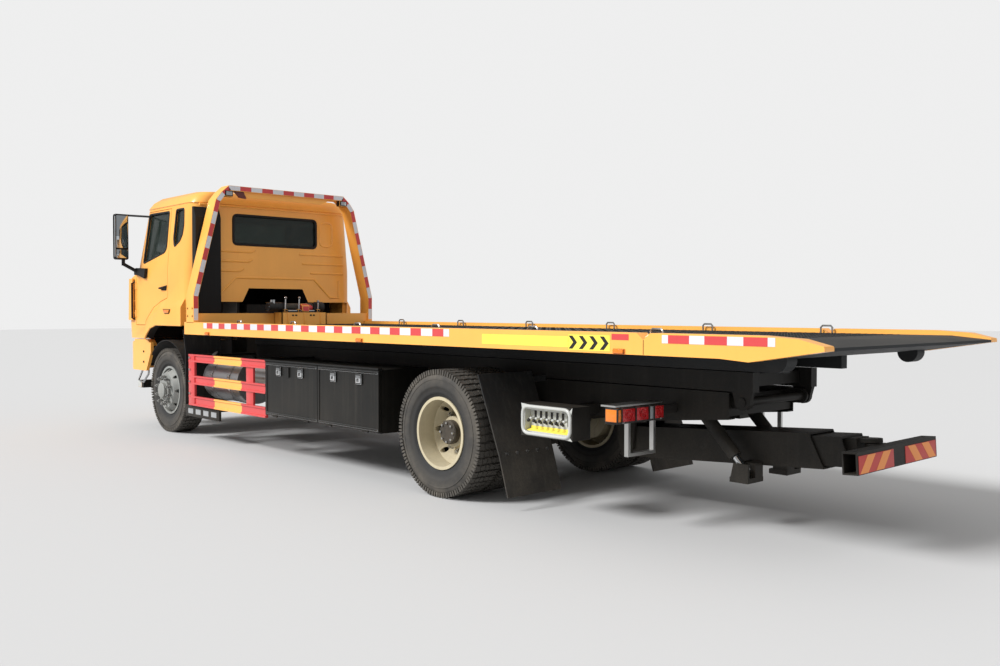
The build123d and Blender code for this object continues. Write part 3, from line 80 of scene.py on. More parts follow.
# Lights
SUN_FROM = (0.25, 0.78, 0.72)
SUN_STRENGTH = 3.9
SUN_ANGLE = math.radians(18)
SKY_STRENGTH = 0.84
MIRRORED_STRENGTH = 0.42
FLOOR_REACH = 70
BACKDROP_GREY = 0.86


def screen(red, green, blue):
    """A colour from its 0 to 255 screen values, as a shader's linear colour."""
    def linear(value):
        share = value / 255
        return share / 12.92 if share <= 0.04045 else ((share + 0.055) / 1.055) ** 2.4
    return (linear(red), linear(green), linear(blue), 1.0)


# Node helpers


def feed(tree, node, inputs):
    """A node with its inputs set by name or number. A socket given as an input is linked."""
    for key, value in inputs.items():
        if isinstance(value, bpy.types.NodeSocket):
            tree.links.new(value, node.inputs[key])
        else:
            node.inputs[key].default_value = value
    return node


def add(tree, kind, inputs=None, **settings):
    """A new node with its settings and inputs."""
    made = tree.nodes.new(kind)
    for key, value in settings.items():
        setattr(made, key, value)
    return feed(tree, made, inputs or {})


def sums(tree, operation, first, second=0.0, clamp=False):
    """The result of a Math node."""
    return add(tree, "ShaderNodeMath", {0: first, 1: second}, operation=operation, use_clamp=clamp).outputs[0]


def product(tree, *factors, clamp=False):
    """Factors multiplied one after another."""
    result = factors[0]
    for factor in factors[1:]:
        result = sums(tree, "MULTIPLY", result, factor, clamp and factor is factors[-1])
    return result


def blend(tree, factor, first, second):
    """A mix of two colours."""
    return add(tree, "ShaderNodeMix", {0: factor, 6: first, 7: second}, data_type="RGBA").outputs[2]


def between(tree, factor, first, second):
    """A mix of two values."""
    return add(tree, "ShaderNodeMix", {0: factor, 2: first, 3: second}, data_type="FLOAT").outputs[0]


def stretch(tree, value, low, high, to_low=0.0, to_high=1.0):
    """A value's span from low to high, moved to another span and held inside it."""
    return add(tree, "ShaderNodeMapRange", {
        "Value": value, "From Min": low, "From Max": high, "To Min": to_low, "To Max": to_high}).outputs[0]


def here(tree):
    """The place that is shaded, in the part's own frame."""
    return add(tree, "ShaderNodeTexCoord").outputs["Object"]


def split(tree, vector, axis):
    """One coordinate of a vector."""
    return add(tree, "ShaderNodeSeparateXYZ", {0: vector}).outputs[axis]


def mapped(tree, vector, **settings):
    """A vector turned or scaled."""
    return add(tree, "ShaderNodeMapping", {"Vector": vector, **settings}).outputs[0]


def cloud(tree, vector, scale, detail=4.0, roughness=0.55):
    """Noise between 0 and 1."""
    return add(tree, "ShaderNodeTexNoise", {
        "Vector": vector, "Scale": scale, "Detail": detail, "Roughness": roughness}).outputs[0]


def raised(tree, height, strength, distance=0.002):
    """The normal of a surface with a relief."""
    return add(tree, "ShaderNodeBump", {"Height": height, "Strength": strength, "Distance": distance}).outputs[0]


def group(kind, name, inputs, outputs):
    """A node group with named sockets, what its first node gives, and its last node."""
    tree = bpy.data.node_groups.new(name, kind)
    for label, socket_kind, *value in inputs:
        socket = tree.interface.new_socket(label, in_out="INPUT", socket_type="NodeSocket" + socket_kind)
        if value:
            socket.default_value = value[0]
    for label, socket_kind in outputs:
        tree.interface.new_socket(label, in_out="OUTPUT", socket_type="NodeSocket" + socket_kind)
    return tree, tree.nodes.new("NodeGroupInput").outputs, tree.nodes.new("NodeGroupOutput")


def road_dust_group():
    """Dust that thickens towards the ground and lies on what faces up."""
    tree, given, end = group("ShaderNodeTree", "road dust", (
        ("Colour", "Color", (0.5, 0.5, 0.5, 1)), ("Dust", "Color", screen(150, 138, 120)),
        ("Amount", "Float", 0.3), ("Top", "Float", 1.4), ("Roughness", "Float", 0.4),
    ), (("Colour", "Color"), ("Roughness", "Float")))
    place = here(tree)
    low = stretch(tree, split(tree, place, "Z"), given["Top"], 0.1)
    facing = split(tree, add(tree, "ShaderNodeNewGeometry").outputs["Normal"], "Z")
    reach = sums(tree, "ADD", low, stretch(tree, facing, 0.3, 1.0, 0.0, 0.55))
    patches = stretch(tree, cloud(tree, place, 2.6, 7.0, 0.62), 0.36, 0.72, 0.35, 1.0)
    specks = stretch(tree, cloud(tree, place, 70.0, 3.0, 0.7), 0.35, 0.7, 0.7, 1.15)
    mask = product(tree, reach, patches, specks, given["Amount"], clamp=True)
    feed(tree, end, {"Colour": blend(tree, mask, given["Colour"], given["Dust"]),
                     "Roughness": between(tree, mask, given["Roughness"], 0.9)})
    return tree


def wear_group():
    """A mask of chips and long fine scratches."""
    tree, given, end = group("ShaderNodeTree", "chips and scratches", (
        ("Amount", "Float", 0.2), ("Scale", "Float", 9.0)), (("Mask", "Float"),))
    place = here(tree)
    spots = stretch(tree, cloud(tree, place, given["Scale"], 9.0, 0.72), 0.62, 0.68)
    lines = cloud(tree, mapped(tree, place, Scale=(0.35, 2.2, 2.2)), 60.0, 2.0, 0.4)
    both = sums(tree, "MAXIMUM", spots, stretch(tree, lines, 0.70, 0.74, 0.0, 0.6))
    where = stretch(tree, cloud(tree, place, 2.3, 3.0), 0.4, 0.62)
    feed(tree, end, {"Mask": product(tree, both, where, given["Amount"], clamp=True)})
    return tree


def streak_group():
    """A mask of runs that rain leaves down an upright face."""
    tree, given, end = group("ShaderNodeTree", "rain runs", (("Amount", "Float", 0.2),), (("Mask", "Float"),))
    drawn = mapped(tree, here(tree), Scale=(26.0, 26.0, 1.1))
    runs = stretch(tree, cloud(tree, drawn, 1.0, 4.0, 0.6), 0.5, 0.78)
    feed(tree, end, {"Mask": product(tree, runs, given["Amount"], clamp=True)})
    return tree


def grain_group():
    """A height of fine grain over slow waves, for paint, castings and rubber."""
    tree, given, end = group("ShaderNodeTree", "grain", (
        ("Scale", "Float", 200.0), ("Waves", "Float", 0.3)), (("Height", "Float"),))
    place = here(tree)
    slow = product(tree, cloud(tree, place, 5.0, 2.0), given["Waves"])
    feed(tree, end, {"Height": sums(tree, "ADD", cloud(tree, place, given["Scale"], 3.0, 0.6), slow)})
    return tree


ROAD_DUST = road_dust_group()
WEAR = wear_group()
RAIN_RUNS = streak_group()
GRAIN = grain_group()


def effect(tree, tool, **inputs):
    """What a placed node group gives for these values."""
    return add(tree, "ShaderNodeGroup", inputs, node_tree=tool).outputs


def blank(name):
    """A new material with its node tree and its Principled shader."""
    material = bpy.data.materials.new(name)
    material.use_nodes = True
    return material, material.node_tree, material.node_tree.nodes["Principled BSDF"]


def dusted(tree, colour, **inputs):
    """The shader inputs of a colour and a roughness under road dust."""
    film = effect(tree, ROAD_DUST, Colour=colour, **inputs)
    return {"Base Color": film["Colour"], "Roughness": film["Roughness"]}


def surface(name, colour, roughness, metallic, coat, dust, top, wear, under, runs, grain, relief, tint=None):
    """An opaque finish: its colour worn, streaked and dusted, over a fine grain."""
    material, tree, shader = blank(name)
    dull = add(tree, "ShaderNodeHueSaturation", {
        "Saturation": 0.92, "Value": stretch(tree, cloud(tree, here(tree), 1.3, 5.0), 0.3, 0.7, 0.9, 1.06),
        "Color": tint(tree) if tint else screen(*colour)}).outputs[0]
    worn = blend(tree, effect(tree, WEAR, Amount=wear)["Mask"], dull, screen(*under))
    run = blend(tree, effect(tree, RAIN_RUNS, Amount=runs)["Mask"], worn, screen(*under))
    feed(tree, shader, {
        **dusted(tree, run, Amount=dust, Top=top, Roughness=roughness), "Metallic": metallic,
        "Coat Weight": coat, "Coat Roughness": 0.12,
        "Normal": raised(tree, effect(tree, GRAIN, Scale=grain)["Height"], relief)})
    return material


# name: screen colour, roughness, metallic, coat, dust, dust's top, wear, worn to, runs, grain scale, relief
FINISHES = {
    "orange": ((252, 170, 20), 0.32, 0.0, 0.3, 0.10, 1.5, 0.05, (206, 112, 20), 0.06, 260, 0.04),
    "black": ((14, 15, 16), 0.5, 0.0, 0.0, 0.14, 1.5, 0.12, (72, 71, 68), 0.10, 150, 0.12),
    "box_black": ((12, 13, 13), 0.4, 0.0, 0.05, 0.09, 1.2, 0.08, (84, 80, 72), 0.12, 180, 0.08),
    "deck_black": ((34, 37, 40), 0.55, 0.0, 0.0, 0.3, 1.3, 0.4, (96, 92, 86), 0.0, 120, 0.25),
    "rear_wheel": ((196, 184, 150), 0.62, 0.0, 0.0, 0.5, 1.3, 0.2, (104, 82, 60), 0.2, 160, 0.12),
    "front_wheel": ((150, 154, 152), 0.5, 0.2, 0.0, 0.4, 1.2, 0.2, (96, 78, 60), 0.2, 160, 0.12),
    "flap": ((34, 35, 36), 0.75, 0.0, 0.0, 0.28, 1.0, 0.1, (96, 94, 90), 0.2, 90, 0.2),
    "aluminium": ((176, 178, 180), 0.34, 0.9, 0.0, 0.3, 1.3, 0.1, (120, 116, 110), 0.12, 220, 0.06),
    "cast": ((44, 42, 40), 0.7, 0.4, 0.0, 0.45, 1.5, 0.3, (104, 76, 54), 0.15, 70, 0.35),
    "bright_steel": ((196, 196, 194), 0.28, 1.0, 0.0, 0.16, 1.3, 0.1, (130, 112, 92), 0.08, 260, 0.05),
    "chrome": ((214, 216, 218), 0.08, 1.0, 0.0, 0.06, 1.2, 0.02, (150, 140, 130), 0.02, 300, 0.01),
    "panel_silver": ((186, 190, 192), 0.3, 0.6, 0.2, 0.1, 1.3, 0.04, (120, 120, 118), 0.05, 260, 0.04),
    "panel_white": ((184, 186, 182), 0.4, 0.0, 0.2, 0.14, 1.3, 0.08, (150, 140, 124), 0.12, 240, 0.05),
    "plastic": ((26, 26, 28), 0.55, 0.0, 0.0, 0.14, 1.6, 0.04, (80, 78, 76), 0.04, 130, 0.22),
    "lining": ((96, 94, 90), 0.8, 0.0, 0.0, 0.05, 1.6, 0.02, (60, 58, 56), 0.0, 90, 0.2),
    "seal": ((14, 14, 15), 0.6, 0.0, 0.0, 0.1, 1.5, 0.0, (50, 50, 50), 0.0, 180, 0.1),
    "winch_grey": ((52, 52, 54), 0.5, 0.5, 0.0, 0.25, 1.9, 0.25, (112, 90, 68), 0.1, 120, 0.2),
    "tape_red": ((206, 20, 22), 0.36, 0.0, 0.2, 0.08, 1.5, 0.03, (120, 50, 46), 0.08, 420, 0.10),
    "tape_white": ((214, 214, 220), 0.32, 0.0, 0.4, 0.12, 1.5, 0.03, (150, 146, 140), 0.1, 420, 0.12),
    "warning_yellow": ((240, 220, 40), 0.36, 0.0, 0.2, 0.08, 1.5, 0.02, (150, 130, 50), 0.08, 300, 0.05),
    "signal_red": ((214, 16, 22), 0.36, 0.0, 0.2, 0.10, 1.3, 0.04, (120, 40, 36), 0.05, 240, 0.04),
    "maroon": ((104, 34, 28), 0.4, 0.0, 0.2, 0.15, 1.5, 0.1, (70, 40, 36), 0.1, 200, 0.08),
    "plate_red": ((196, 30, 14), 0.5, 0.0, 0.0, 0.1, 1.2, 0.03, (120, 60, 50), 0.05, 320, 0.06),
    "plate_orange": ((240, 138, 14), 0.5, 0.0, 0.0, 0.1, 1.2, 0.03, (150, 110, 60), 0.05, 320, 0.06),
}


FINISH = {name: surface(name, *row) for name, row in FINISHES.items()}
for dark in ("black", "box_black", "deck_black", "plastic", "flap"):
    FINISH[dark].node_tree.nodes["Principled BSDF"].inputs["Specular IOR Level"].default_value = 0.25


def guard_red():
    """The side guard's red, with its yellow stretch in the middle."""
    front, rear = REAR_X + 4.007, REAR_X + 3.364

    def tint(tree):
        along = split(tree, here(tree), "X")
        after = sums(tree, "GREATER_THAN", along, rear)
        before = sums(tree, "LESS_THAN", along, front)
        return blend(tree, product(tree, after, before), screen(206, 8, 16), screen(250, 172, 28))

    return surface("guard red", None, 0.34, 0.0, 0.2, 0.08, 1.2, 0.05, (120, 40, 30), 0.05, 240.0, 0.05, tint)


def tyre_rubber(name, axle):
    """Tyre rubber with dust on its walls and a cleaner ring by the rim."""
    material, tree, shader = blank(name)
    place = here(tree)
    vector = "ShaderNodeVectorMath"
    away = add(tree, vector, {0: place, 1: (axle.x, 0, axle.z)}, operation="SUBTRACT").outputs[0]
    flat = add(tree, vector, {0: away, 1: (1, 0, 1)}, operation="MULTIPLY").outputs[0]
    radius = add(tree, vector, {0: flat}, operation="LENGTH").outputs["Value"]
    ring = stretch(tree, radius, TYRE_R * 0.62, TYRE_R * 0.93)
    tread = stretch(tree, radius, TYRE_R * 0.955, TYRE_R * 0.995)
    patches = stretch(tree, cloud(tree, place, 7.0, 7.0, 0.66), 0.36, 0.66, 0.25, 1.0)
    worn = between(tree, tread, product(tree, ring, patches, 0.5), 0.22)
    feed(tree, shader, {
        "Base Color": blend(tree, worn, screen(40, 40, 40), screen(128, 120, 108)),
        "Roughness": stretch(tree, patches, 0.0, 1.0, 0.7, 0.9),
        "Normal": raised(tree, effect(tree, GRAIN, Scale=110.0)["Height"], 0.25)})
    return material


def tinted_glass():
    """Dark cab glass with a thin film of dust."""
    material, tree, shader = blank("cab glass")
    haze = stretch(tree, cloud(tree, here(tree), 5.0, 7.0, 0.65), 0.4, 0.75, 0.0, 0.2)
    feed(tree, shader, {
        "Base Color": blend(tree, haze, screen(74, 88, 82), screen(140, 140, 132)),
        "Roughness": sums(tree, "ADD", haze, 0.04), "Transmission Weight": 0.82, "IOR": 1.45})
    return material


def lens(name, colour, glow, ribs):
    """A lamp's moulded plastic lens."""
    material, tree, shader = blank(name)
    facets = add(tree, "ShaderNodeTexVoronoi", {"Vector": here(tree), "Scale": 130.0}).outputs["Distance"]
    feed(tree, shader, {
        **dusted(tree, screen(*colour), Amount=0.12, Roughness=0.16), "Coat Weight": 0.6,
        "Coat Roughness": 0.05, "Transmission Weight": glow, "Normal": raised(tree, facets, ribs, 0.004)})
    return material


def mirror_glass():
    """Silvered glass with a light haze."""
    material, tree, shader = blank("mirror glass")
    feed(tree, shader, {
        "Roughness": stretch(tree, cloud(tree, here(tree), 9.0, 6.0), 0.45, 0.8, 0.02, 0.16),
        "Base Color": screen(190, 196, 200), "Metallic": 1.0})
    return material


def seat_cloth():
    """Woven seat cloth."""
    material, tree, shader = blank("seat cloth")
    place = here(tree)
    weave = add(tree, "ShaderNodeTexChecker", {
        "Vector": place, "Scale": 420.0, "Color1": screen(58, 60, 64), "Color2": screen(40, 41, 44)}).outputs
    bare = stretch(tree, cloud(tree, place, 6.0), 0.45, 0.7, 0.0, 0.4)
    feed(tree, shader, {
        "Base Color": blend(tree, bare, weave[0], screen(92, 90, 88)), "Roughness": 0.9,
        "Normal": raised(tree, weave[1], 0.3)})
    return material


def wire_rope():
    """Steel wire rope, twisted round its length."""
    material, tree, shader = blank("wire rope")
    turned = mapped(tree, here(tree), Rotation=(0.6, 0.4, 0.5))
    strands = add(tree, "ShaderNodeTexWave", {"Vector": turned, "Scale": 60.0, "Distortion": 0.6}).outputs[1]
    feed(tree, shader, {
        **dusted(tree, screen(120, 116, 110), Amount=0.3, Top=2.2, Roughness=0.42), "Metallic": 0.8,
        "Normal": raised(tree, strands, 0.6, 0.003)})
    return material


FINISH.update({
    "guard_red": guard_red(), "rear_rubber": tyre_rubber("rear tyre rubber", REAR_AXLE),
    "front_rubber": tyre_rubber("front tyre rubber", FRONT_AXLE), "glass": tinted_glass(),
    "red_lens": lens("red lens", (190, 18, 28), 0.15, 0.5),
    "amber_lens": lens("amber lens", (238, 128, 24), 0.15, 0.5),
    "clear_lens": lens("clear lens", (214, 220, 224), 0.55, 0.2),
    "mirror": mirror_glass(), "cloth": seat_cloth(), "rope": wire_rope(),
})


# Shapes


def circle(count, radius, steps=None):
    """Points round a circle, evenly for that many steps in a whole turn."""
    for step in range(count):
        turn = math.tau * step / (steps or count)
        yield radius * math.cos(turn), radius * math.sin(turn)


class Shape:
    """Simple solids gathered into one mesh, each with its own finish, in the part's own frame."""

    def __init__(self, *looks):
        self.mesh = bmesh.new()
        self.looks = looks

    def _finish(self, verts, look, bevel=0.0):
        """Paints the faces round these corners, and bevels their edges if asked."""
        for vert in verts:
            for face in vert.link_faces:
                face.material_index = look
        if bevel:
            edges = list(dict.fromkeys(edge for vert in verts for edge in vert.link_edges))
            bmesh.ops.bevel(self.mesh, geom=edges, offset=bevel, segments=2, profile=0.5, affect="EDGES")

    def _cap(self, rings):
        """A face on each end of a row of rings."""
        self.mesh.faces.new(rings[0])
        self.mesh.faces.new(rings[-1][::-1])

    def _skin(self, rings, closed=False):
        """Faces from each ring of points to the next, and from the last to the first if closed."""
        for near, far in zip(rings, rings[1:] + rings[:1] if closed else rings[1:]):
            count = max(len(near), len(far))
            for step in range(count):
                after = (step + 1) % count
                corners = [near[step % len(near)], near[after % len(near)], far[after % len(far)],
                           far[step % len(far)]]
                self.mesh.faces.new(list(dict.fromkeys(corners)))

    def block(self, low, high, look=0, bevel=0.0, turn=None):
        """A box between two corners, turned about its middle if asked."""
        low, high = Vector(low), Vector(high)
        place = Matrix.Translation((low + high) / 2)
        if turn is not None:
            place = place @ turn
        size = [abs(span) for span in high - low]
        cube = bmesh.ops.create_cube(self.mesh, size=1.0, matrix=place @ Matrix.Diagonal((*size, 1)))
        self._finish(cube["verts"], look, bevel)

    def prism(self, outline, axis, start, end, look=0, bevel=0.0):
        """A plate cut to an outline in the two other axes, thick along this one."""
        others = [index for index in range(3) if index != "XYZ".index(axis)]
        rings = []
        for level in (start, end):
            ring = []
            for point in outline:
                place = [level, level, level]
                place[others[0]], place[others[1]] = point
                ring.append(self.mesh.verts.new(place))
            rings.append(ring)
        self._cap(rings)
        near, far = rings
        for step in range(len(near)):
            after = (step + 1) % len(near)
            self.mesh.faces.new((near[step], far[step], far[after], near[after]))
        self._finish(near + far, look, bevel)

    def loft(self, rings, look=0):
        """A solid through closed rings of as many points each."""
        made = [[self.mesh.verts.new(point) for point in ring] for ring in rings]
        self._cap(made)
        self._skin(made)
        self._finish(sum(made, []), look)

    def rod(self, start, end, radius, look=0, sides=16, bevel=0.0):
        """A round bar from one point to another."""
        start, end = Vector(start), Vector(end)
        way = end - start
        place = Matrix.Translation((start + end) / 2) @ way.to_track_quat("Z", "Y").to_matrix().to_4x4()
        cone = bmesh.ops.create_cone(self.mesh, cap_ends=True, segments=sides, radius1=radius, radius2=radius,
                                     depth=way.length, matrix=place)
        self._finish(cone["verts"], look, bevel)

    def ball(self, centre, radius, look=0, sides=12, squeeze=(1, 1, 1)):
        """A ball, or an egg when squeezed."""
        place = Matrix.Translation(centre) @ Matrix.Diagonal((*squeeze, 1))
        ball = bmesh.ops.create_uvsphere(self.mesh, u_segments=sides, v_segments=sides // 2, radius=radius,
                                         matrix=place)
        self._finish(ball["verts"], look)

    def lathe(self, centre, axis, profile, look=0, steps=48, closed=False):
        """A turned piece from (along, radius) points. A closed profile makes a ring."""
        turn = Vector(axis).to_track_quat("Z", "Y").to_matrix()
        rings = [[self.mesh.verts.new(Vector(centre) + turn @ Vector((across, up, along)))
                  for across, up in circle(steps if radius > 1e-6 else 1, radius, steps)]
                 for along, radius in profile]
        self._skin(rings, closed)
        self._finish(sum(rings, []), look)

    def pipe(self, points, radius, look=0, sides=8, closed=False):
        """A round bar bent through a list of points."""
        points = [Vector(point) for point in points]
        count = len(points)
        rings = []
        side = None
        for index, point in enumerate(points):
            before = points[(index - 1) % count] if closed or index else point
            after = points[(index + 1) % count] if closed or index < count - 1 else point
            along = (after - before).normalized()
            if side is None:
                side = along.orthogonal().normalized()
            side = (side - along * side.dot(along)).normalized()
            other = along.cross(side)
            rings.append([self.mesh.verts.new(point + radius * (side * near + other * far))
                          for near, far in circle(sides, 1)])
        self._skin(rings, closed)
        if not closed:
            self._cap(rings)
        self._finish(sum(rings, []), look)

    def twin(self):
        """The shape, with its mirror image on the other side of the truck."""
        whole = self.mesh.verts[:] + self.mesh.edges[:] + self.mesh.faces[:]
        for item in bmesh.ops.duplicate(self.mesh, geom=whole)["geom"]:
            if isinstance(item, bmesh.types.BMVert):
                item.co.y = -item.co.y
        return self

    def plain(self, name):
        """The mesh alone."""
        bmesh.ops.recalc_face_normals(self.mesh, faces=self.mesh.faces[:])
        mesh = bpy.data.meshes.new(name)
        self.mesh.to_mesh(mesh)
        self.mesh.free()
        for look in self.looks:
            mesh.materials.append(FINISH[look])
        return mesh

    def made(self, name, body, slot, *nodes, crease=38):
        """The finished piece, riding on its body, in place of these solids if any."""
        return placed(name, self.plain(name), body, slot, *nodes, crease=crease)


def frozen(piece, *others):
    """The mesh that a piece's modifiers make. The piece and what they use are then removed."""
    for item in (piece, *others):
        bpy.context.scene.collection.objects.link(item)
    mesh = bpy.data.meshes.new_from_object(piece.evaluated_get(bpy.context.evaluated_depsgraph_get()))
    for item in (piece, *others):
        bpy.data.objects.remove(item)
    return mesh


def carved(name, shape, *steps):
    """A closed mesh that other shapes are cut from, joined to or met with, one after another."""
    mesh = shape.plain(name)
    for operation, other in steps:
        piece = bpy.data.objects.new(name, mesh)
        tool = other.plain(name + "_tool") if isinstance(other, Shape) else other
        cut = piece.modifiers.new("cut", "BOOLEAN")
        cut.operation = operation
        cut.solver = "EXACT"
        cut.object = bpy.data.objects.new(name + "_tool", tool)
        mesh = frozen(piece, cut.object)
    return mesh


def placed(name, mesh, body, slot, *nodes, crease=30):
    """A mesh as a finished piece on its body, in place of these solids if any."""
    mesh.name = name
    mesh.polygons.foreach_set("use_smooth", [True] * len(mesh.polygons))
    mesh.set_sharp_from_angle(angle=math.radians(crease))
    piece = bpy.data.objects.new(name, mesh)
    bpy.context.scene.collection.objects.link(piece)
    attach(piece, body)
    if nodes:
        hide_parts(*nodes)
    return piece


# Geometry Nodes


def growth_tree(name, inputs, shape):
    """A geometry node tree with named inputs, which makes its shape's instances real with their material."""
    tree, given, end = group("GeometryNodeTree", name, (*inputs, ("Material", "Material")),
                             (("Geometry", "Geometry"),))
    real = add(tree, "GeometryNodeRealizeInstances", {0: shape(tree, given)}).outputs[0]
    done = add(tree, "GeometryNodeSetMaterial", {"Geometry": real, "Material": given["Material"]})
    feed(tree, end, {"Geometry": done.outputs[0]})
    return tree


def copies(tree, given, points, **turned):
    """Copies of the seed on points."""
    return add(tree, "GeometryNodeInstanceOnPoints", {
        "Points": points, "Instance": given["Seed"], **turned}).outputs[0]


def line(tree, given, start, step):
    """Points in a line."""
    return add(tree, "GeometryNodeMeshLine", {
        "Count": given["Count"], "Start Location": given[start], "Offset": step}).outputs[0]


def row(tree, given):
    """Copies of a seed in a straight row."""
    return copies(tree, given, line(tree, given, "Start", given["Step"]))


def ring(tree, given):
    """Copies of a seed round an axle along Y."""
    points = line(tree, given, "Axle", (0.0, 0.0, 0.0))
    share = sums(tree, "DIVIDE", add(tree, "GeometryNodeInputIndex").outputs[0], given["Count"])
    turn = sums(tree, "ADD", product(tree, share, math.tau), given["Phase"])
    return copies(tree, given, points, Rotation=add(tree, "ShaderNodeCombineXYZ", {"Y": turn}).outputs[0])


def field(tree, given):
    """Copies of a seed over a flat field, every second one turned across."""
    grid = add(tree, "GeometryNodeMeshGrid", {
        "Size X": given["Length"], "Size Y": given["Width"], "Vertices X": given["Rows"],
        "Vertices Y": given["Columns"]}).outputs[0]
    index = add(tree, "GeometryNodeInputIndex").outputs[0]
    over = sums(tree, "FLOOR", sums(tree, "DIVIDE", index, given["Columns"]))
    across = sums(tree, "FLOORED_MODULO", index, given["Columns"])
    odd = sums(tree, "FLOORED_MODULO", sums(tree, "ADD", over, across), 2.0)
    signed = sums(tree, "SUBTRACT", product(tree, odd, 2.0), 1.0)
    spin = add(tree, "ShaderNodeCombineXYZ", {"Z": product(tree, signed, given["Turn"])}).outputs[0]
    moved = add(tree, "GeometryNodeTransform", {"Geometry": grid, "Translation": given["Middle"]}).outputs[0]
    return copies(tree, given, moved, Rotation=spin)


def coil(tree, given):
    """A rope wound round an axle along Y."""
    spiral = add(tree, "GeometryNodeCurveSpiral", {
        "Resolution": 28, "Rotations": given["Turns"], "Start Radius": given["Radius"],
        "End Radius": given["Radius"], "Height": given["Width"]}).outputs[0]
    for change in ({"Rotation": (math.pi / 2, 0.0, 0.0)}, {"Translation": given["Middle"]}):
        spiral = add(tree, "GeometryNodeTransform", {"Geometry": spiral, **change}).outputs[0]
    section = add(tree, "GeometryNodeCurvePrimitiveCircle", {"Resolution": 8, "Radius": given["Thickness"]})
    return add(tree, "GeometryNodeCurveToMesh", {
        "Curve": spiral, "Profile Curve": section.outputs[0], "Fill Caps": True}).outputs[0]


SEED = ("Seed", "Geometry")
COUNT = ("Count", "Int")
ROW = growth_tree("row of copies", (SEED, COUNT, ("Start", "Vector"), ("Step", "Vector")), row)
RING = growth_tree("ring of copies", (SEED, COUNT, ("Axle", "Vector"), ("Phase", "Float")), ring)
FIELD = growth_tree("field of copies", (
    SEED, ("Middle", "Vector"), ("Length", "Float"), ("Width", "Float"), ("Rows", "Int"), ("Columns", "Int"),
    ("Turn", "Float")), field)
COIL = growth_tree("coil", (
    ("Middle", "Vector"), ("Radius", "Float"), ("Width", "Float"), ("Turns", "Float"), ("Thickness", "Float")), coil)


def grown(name, tree, body, slot, look, seed=None, **values):
    """A piece made by a geometry node tree and kept as a plain mesh."""
    start = seed.plain(name + "_seed") if seed else bpy.data.meshes.new(name + "_seed")
    piece = bpy.data.objects.new(name, start)
    grower = piece.modifiers.new("growth", "NODES")
    grower.node_group = tree
    values["Material"] = FINISH[look]
    for socket in tree.interface.items_tree:
        if socket.in_out == "INPUT" and socket.name in values:
            grower[socket.identifier] = values[socket.name]
    return placed(name, frozen(piece), body, slot, crease=38)


# Finishes on the solids


# material slot of the record: finish
SLOT_LOOKS = {
    "body_paint": "orange", "black_paint": "black", "guard_paint": "guard_red", "wheel_paint": "rear_wheel",
    "front_wheel_paint": "front_wheel", "tyre_rubber": "rear_rubber", "flap_rubber": "flap",
    "tank_metal": "aluminium", "cast_metal": "cast", "rod_chrome": "chrome", "lamp_lens": "red_lens",
    "head_lens": "clear_lens", "panel_paint": "panel_white", "cab_glass": "glass", "trim_plastic": "plastic",
    "seat_cloth": "cloth", "winch_metal": "winch_grey", "rope_steel": "rope",
}
SLOT_OF = {part["node"]: part["material_slot"] for part in frame["record"]["subparts"]}


def dress_solids():
    """Gives every solid the finish of its material slot."""
    for name, piece in NODES.items():
        look = SLOT_LOOKS[SLOT_OF[name]]
        if name == "bed_deck":
            look = "deck_black"
        if name.startswith("box_door") or name == "tool_boxes":
            look = "box_black"
        piece.data.materials.clear()
        piece.data.materials.append(FINISH[look])


# Wheels


TREAD_PITCHES = 52
TREAD_DEPTH = 0.017
TYRE_HALF = (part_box("front_tyre_left")[1].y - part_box("front_tyre_left")[0].y) / 2
BEAD_R = 0.288
BEAD_HALF = 0.099


def tyre_shape(rubber, axles):
    """Tyre carcasses with their wall rings, one for each place along the axle."""
    half = TYRE_HALF - 0.004
    base = TYRE_R - TREAD_DEPTH
    wall = [
        (BEAD_HALF, BEAD_R), (BEAD_HALF, 0.302), (BEAD_HALF + 0.008, 0.312), (BEAD_HALF + 0.016, 0.325),
        (BEAD_HALF + 0.019, 0.327), (BEAD_HALF + 0.024, 0.345), (half - 0.006, 0.375), (half - 0.003, 0.377),
        (half - 0.001, 0.392), (half, 0.415), (half - 0.001, 0.438), (half + 0.002, 0.440), (half + 0.002, 0.447),
        (half - 0.003, 0.449), (half - 0.008, 0.470), (half - 0.014, 0.486), (half - 0.022, base - 0.012),
        (half - 0.036, base - 0.002), (0.04, base), (0.0, base),
    ]
    section = wall + [(-along, radius) for along, radius in reversed(wall[:-1])]
    shape = Shape(rubber)
    for axle in axles:
        shape.lathe(axle, (0, 1, 0), section, steps=72, closed=True)
    return shape


def tread_seed():
    """One pitch of the tread, at the top of the wheel: shoulder blocks and centre blocks."""
    seed = Shape()
    top = TYRE_R - 0.002
    foot = TYRE_R - TREAD_DEPTH - 0.004
    pitch = math.tau * TYRE_R / TREAD_PITCHES
    half = TYRE_HALF - 0.006
    for side in (-1, 1):
        outer = side * half
        seed.prism([
            (-pitch * 0.40, side * 0.074), (-pitch * 0.40, outer), (-pitch * 0.08, outer),
            (-pitch * 0.02, side * (half - 0.022)), (pitch * 0.06, side * (half - 0.022)),
            (pitch * 0.12, outer), (pitch * 0.34, outer), (pitch * 0.34, side * 0.082)], "Z", foot - 0.02, top)
        seed.prism([
            (-pitch * 0.30, side * 0.026), (-pitch * 0.36, side * 0.066), (pitch * 0.28, side * 0.072),
            (pitch * 0.38, side * 0.030)], "Z", foot, top)
    seed.prism([(-pitch * 0.42, -0.016), (pitch * 0.22, -0.020), (pitch * 0.42, 0.016), (-pitch * 0.22, 0.020)],
               "Z", foot, top)
    return seed


